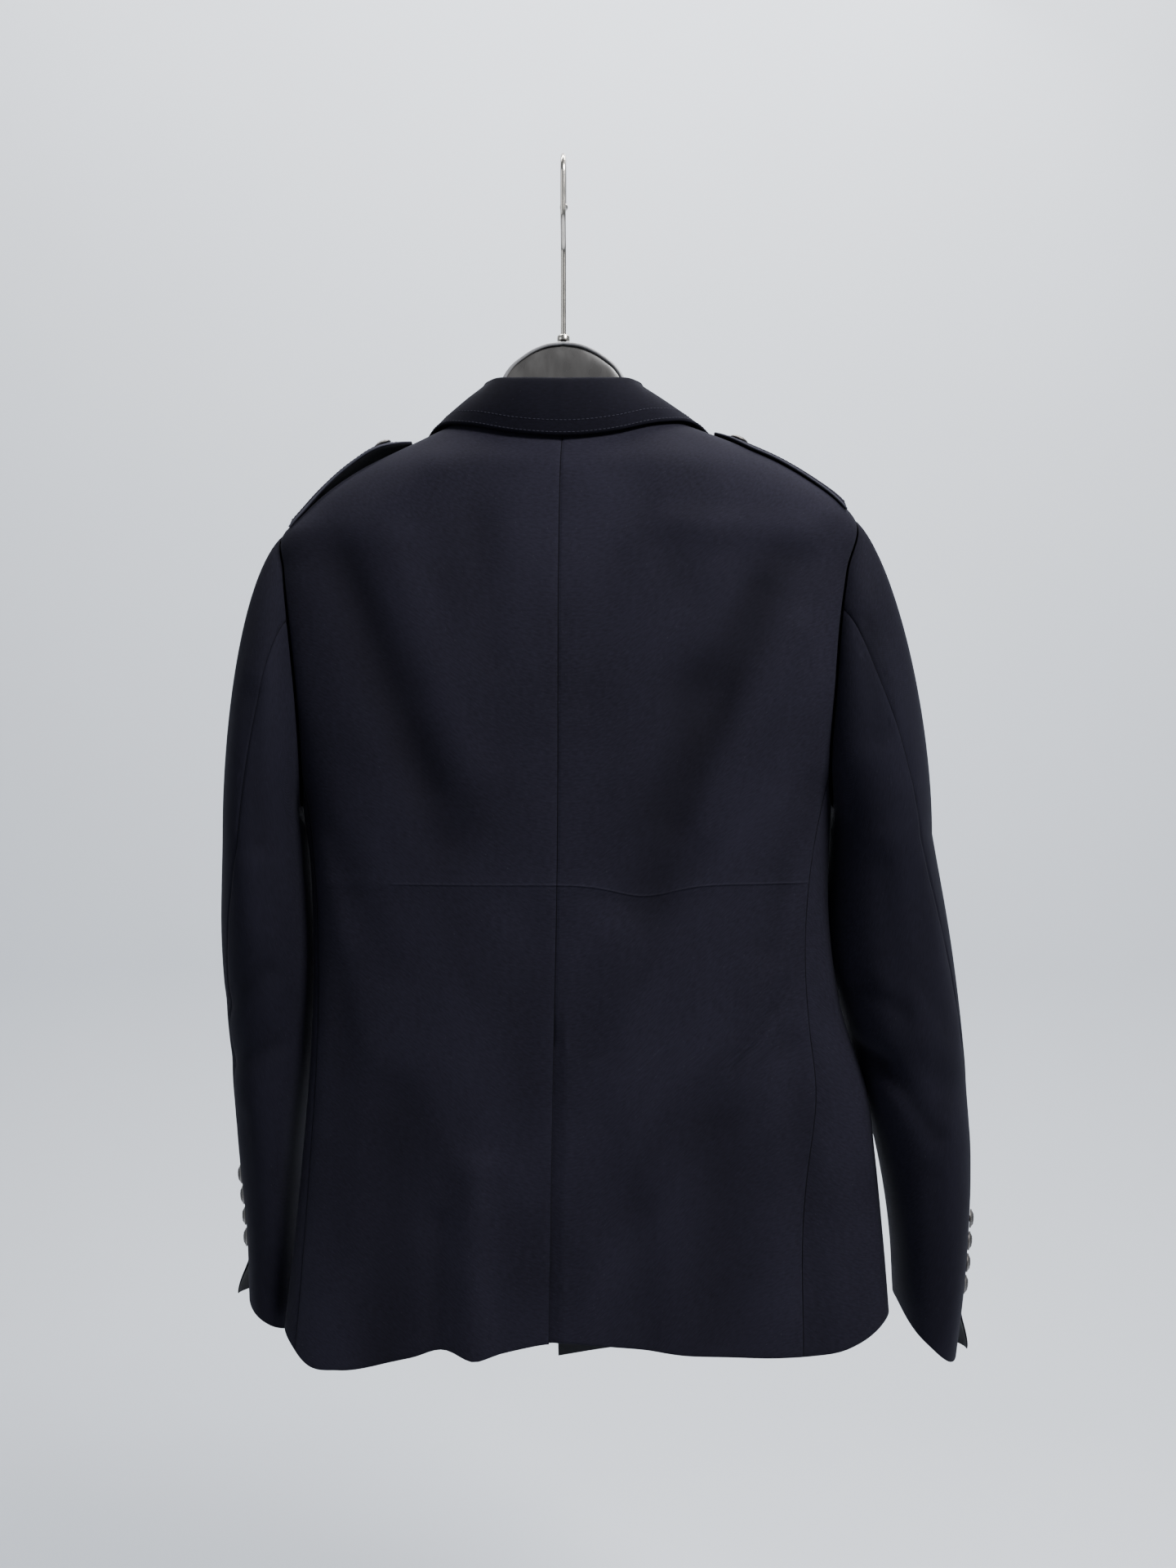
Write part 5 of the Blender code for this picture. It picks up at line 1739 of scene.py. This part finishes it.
@dataclass
class Hanger:
    """Moulded hanger: a rounded bar from shoulder to shoulder, arched at the neck, with beaded edges."""

    form: BodyForm
    finish: Finishes
    arch: Table = (
        (0.000, -0.1440, 0.052, 0.0060), (0.015, -0.1465, 0.051, 0.0060), (0.030, -0.1540, 0.046, 0.0060),
        (0.046, -0.1700, 0.038, 0.0060), (0.054, -0.1870, 0.028, 0.0060), (0.062, -0.2030, 0.022, 0.0060))
    arm_height: float = 0.022
    arm_half: Table = ((0.06, 0.0045), (0.10, 0.0070), (0.14, 0.0120), (0.20, 0.0130))
    sink: float = 0.0007
    bead: float = 0.0014
    bead_end: float = 0.068
    bead_place: Pair = (0.80, 0.0026)
    squareness: float = 2.6
    sides: int = 40

    def sections(self) -> Array:
        """The bar's sections from one end to the other.

        Returns:
            Rows of distance out, top, height and half thickness.
        """
        rows = []
        for side in (RIGHT, LEFT):
            arm = np.linspace(self.form.neck, self.form.hole[side < 0][0], 30)[:-1]
            out = smooth(self.form.wide[side < 0], arm)
            ridge, normal = self.form.surface(np.full(len(arm), 90.0 * side), arm, side)
            top = ridge[:, 2] - (LAYER + self.sink) / normal[:, 2]
            rows.append(np.stack([side * out, top, np.full(len(arm), self.arm_height),
                                  smooth(self.arm_half, out)], -1))
            arch = np.linspace(0.0, self.arch[-1][0], 26)
            rows.append(np.stack([side * arch, smooth(self.arch, arch), smooth(self.arch, arch, 2),
                                  smooth(self.arch, arch, 3)], -1)[1 if side > 0 else 0:])
        table = np.concatenate(rows)
        return table[np.argsort(table[:, 0])]

    def build(self) -> None:
        """The bar, |y / half|^n + |z / height|^n = 1 at each section, and a bead along both top edges."""
        table = self.sections()
        turn = np.linspace(0, 2 * np.pi, self.sides, endpoint=False)[None]
        power = 2 / self.squareness
        x, top, tall, half = (table[:, k][:, None] for k in range(4))
        y = half * np.sign(np.sin(turn)) * np.abs(np.sin(turn)) ** power
        z = top - tall / 2 + tall / 2 * np.sign(np.cos(turn)) * np.abs(np.cos(turn)) ** power
        points = np.stack([x + 0 * turn, y, z], -1)
        middle = np.stack([x + 0 * turn, 0 * y, top - tall / 2 + 0 * turn], -1)
        points = np.concatenate([middle[:1], points, middle[-1:]])
        bar = (points.reshape(-1, 3), grid_faces(len(points), self.sides, wrap=True))
        near = table[np.abs(table[:, 0]) < self.bead_end]
        share, below = self.bead_place
        beads = []
        for way in (-1, 1):
            path = np.stack([near[:, 0], way * near[:, 3] * share, near[:, 1] - below], -1)
            beads.append(tube(path, self.bead, 10))
        points, faces = merged([bar, *beads])
        slots = np.arange(len(faces)) >= len(bar[1])
        item = add_mesh("hanger_moulding", points, faces, [self.finish.plastic, self.finish.rim], slots,
                        sharp=50.0)
        settle(item, "hanger", "hanger")


@dataclass
class Hook:
    """Wire over the rail, down its near side and back to the hanger's middle, with a ball at its tip."""

    finish: Finishes
    wire: float = 0.0022
    rail: float = 0.0165
    tip: float = -0.030
    ball: float = 0.0034
    bend: Pair = (-0.046, -0.074)
    foot: float = -0.1437
    ferrule: Table = ((0.0, 0.0048), (0.0002, 0.0052), (0.0030, 0.0052), (0.0042, 0.0046),
                      (0.0048, 0.0034), (0.0048, 0.0023))

    def build(self) -> None:
        """The swept wire, the ball and a small ferrule on the hanger."""
        reach = self.rail + self.wire
        turn = np.linspace(0, math.pi, 64)
        arc = np.stack([-reach * np.cos(turn), -self.rail + reach * np.sin(turn)], -1)
        high, low = self.bend
        t = np.linspace(0, 1, 40)
        stem = np.stack([reach * (1 - t * t * (3 - 2 * t)), high + (low - high) * t], -1)
        start = np.stack([np.full(8, -reach), np.linspace(self.tip, -self.rail, 9)[:-1]], -1)
        near = np.stack([np.full(12, reach), np.linspace(-self.rail, high, 14)[1:-1]], -1)
        foot = np.stack([np.zeros(14), np.linspace(low, self.foot, 15)[1:]], -1)
        flat = np.concatenate([start, arc, near, stem, foot])
        path = np.stack([0 * flat[:, 0], flat[:, 0], flat[:, 1]], -1)
        around = np.linspace(0, np.pi, 20)
        rise = np.stack([0 * around, 0 * around, self.ball * np.cos(around)], -1)
        ball = tube(path[0] + rise, self.ball * np.sin(around), 24)
        levels, wide = np.array(self.ferrule).T
        ferrule = tube(np.array([0, 0, self.foot]) + levels[:, None] * np.array([0, 0, 1.0]), wide, 28)
        points, faces = merged([tube(path, self.wire, 24), ball, ferrule])
        settle(add_mesh("hook_wire", points, faces, [self.finish.wire], sharp=50.0), "wire", "hook")


@dataclass(frozen=True)
class Lamp:
    """Soft area light that faces a point."""

    name: str
    place: Triple
    size: Pair
    power: float
    aim: Triple = (0.0, 0.0, -0.5)
    colour: Triple = (1.0, 1.0, 1.0)

    def build(self) -> Item:
        """Makes the light.

        Returns:
            The light's object.
        """
        data = bpy.data.lights.new(self.name, "AREA")
        data.shape = "RECTANGLE"
        data.size, data.size_y = self.size
        data.energy = self.power
        data.color = self.colour
        item = bpy.data.objects.new(self.name, data)
        bpy.context.scene.collection.objects.link(item)
        item.location = self.place
        way = Vector(self.aim) - Vector(self.place)
        item.rotation_euler = way.to_track_quat("-Z", "Y").to_euler()
        return item


@dataclass
class Studio:
    """Pale floor and backdrop, soft lights and the camera."""

    place: Triple = (-0.0195, 1.2025, -0.496)
    lens: float = 34.7
    sensor: float = 36.0
    floor: float = -1.45
    half_width: float = 9.0
    front: float = 2.6
    turn_at: float = -1.1
    radius: float = 0.6
    height: float = 2.4
    pale: Triple = (0.60, 0.63, 0.68)
    sky: tuple[float, float, float, float] = (0.78, 0.84, 0.92, 1.0)
    sky_power: float = 0.25
    lamps: tuple[Lamp, ...] = (
        Lamp("key", (-1.0, 1.1, 1.1), (0.6, 0.6), 100.0),
        Lamp("fill", (1.7, 1.0, 0.2), (1.2, 1.4), 9.0, colour=(0.92, 0.96, 1.0)),
        Lamp("front", (-0.8, -1.0, 1.4), (1.2, 1.2), 9.0),
        Lamp("wash", (0.0, -0.5, 1.9), (3.0, 0.6), 120.0, aim=(0.0, -1.7, -0.3)))

    def sweep(self) -> Item:
        """Floor that turns up by a quarter circle into a backdrop behind the garment.

        Returns:
            The sweep.
        """
        turn = np.linspace(0, np.pi / 2, 24)
        curve = np.stack([self.turn_at - self.radius * np.sin(turn),
                          self.floor + self.radius * (1 - np.cos(turn))], -1)
        line = np.concatenate([[[self.front, self.floor]], curve,
                               [[self.turn_at - self.radius, self.height]]])
        x = np.array([-self.half_width, self.half_width])
        points = np.stack([np.broadcast_to(x, (len(line), 2)), np.broadcast_to(line[:, :1], (len(line), 2)),
                           np.broadcast_to(line[:, 1:], (len(line), 2))], -1)
        g = Graph("backdrop")
        cloud = g.noise(g.place(), (2.0, 2.0, 2.0), 3.0)
        g.feed(g.shader, {"Base Color": g.mix(cloud, rgba(self.pale, 0.96), rgba(self.pale, 1.04)),
                          "Roughness": 0.85})
        return add_mesh("sweep", points.reshape(-1, 3), grid_faces(len(line), 2)[:, ::-1], [g.material])

    def build(self) -> None:
        """Sets the floor, the lights, the surroundings and the camera."""
        lights = [lamp.build() for lamp in self.lamps]
        self.sweep()
        world = bpy.context.scene.world or bpy.data.worlds.new("soft")
        bpy.context.scene.world = world
        world.use_nodes = True
        background = world.node_tree.nodes["Background"]
        background.inputs[0].default_value = self.sky
        background.inputs[1].default_value = self.sky_power
        data = bpy.data.cameras.new("camera")
        data.lens = self.lens
        data.sensor_width = self.sensor
        camera = bpy.data.objects.new("camera", data)
        camera.location = self.place
        camera.rotation_euler = (math.radians(90), 0.0, math.radians(180))
        bpy.context.scene.collection.objects.link(camera)
        bpy.context.scene.camera = camera


def main() -> None:
    """Builds every piece in order."""
    logging.basicConfig(level=logging.INFO, format="%(name)s: %(message)s")
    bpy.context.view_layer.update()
    finishes = Finishes()
    form = BodyForm()
    panels = Panels(form, finishes)
    sleeves = Sleeves(form, finishes)
    straps = ShoulderStraps(form, finishes)
    panels.build()
    Lapels(form, panels, finishes).build()
    Collar(form, finishes).build()
    sleeves.build()
    straps.build()
    Buttons(form, panels, sleeves, straps, finishes).build()
    Hanger(form, finishes).build()
    Hook(finishes).build()
    Studio().build()


if __name__ == "__main__":
    main()
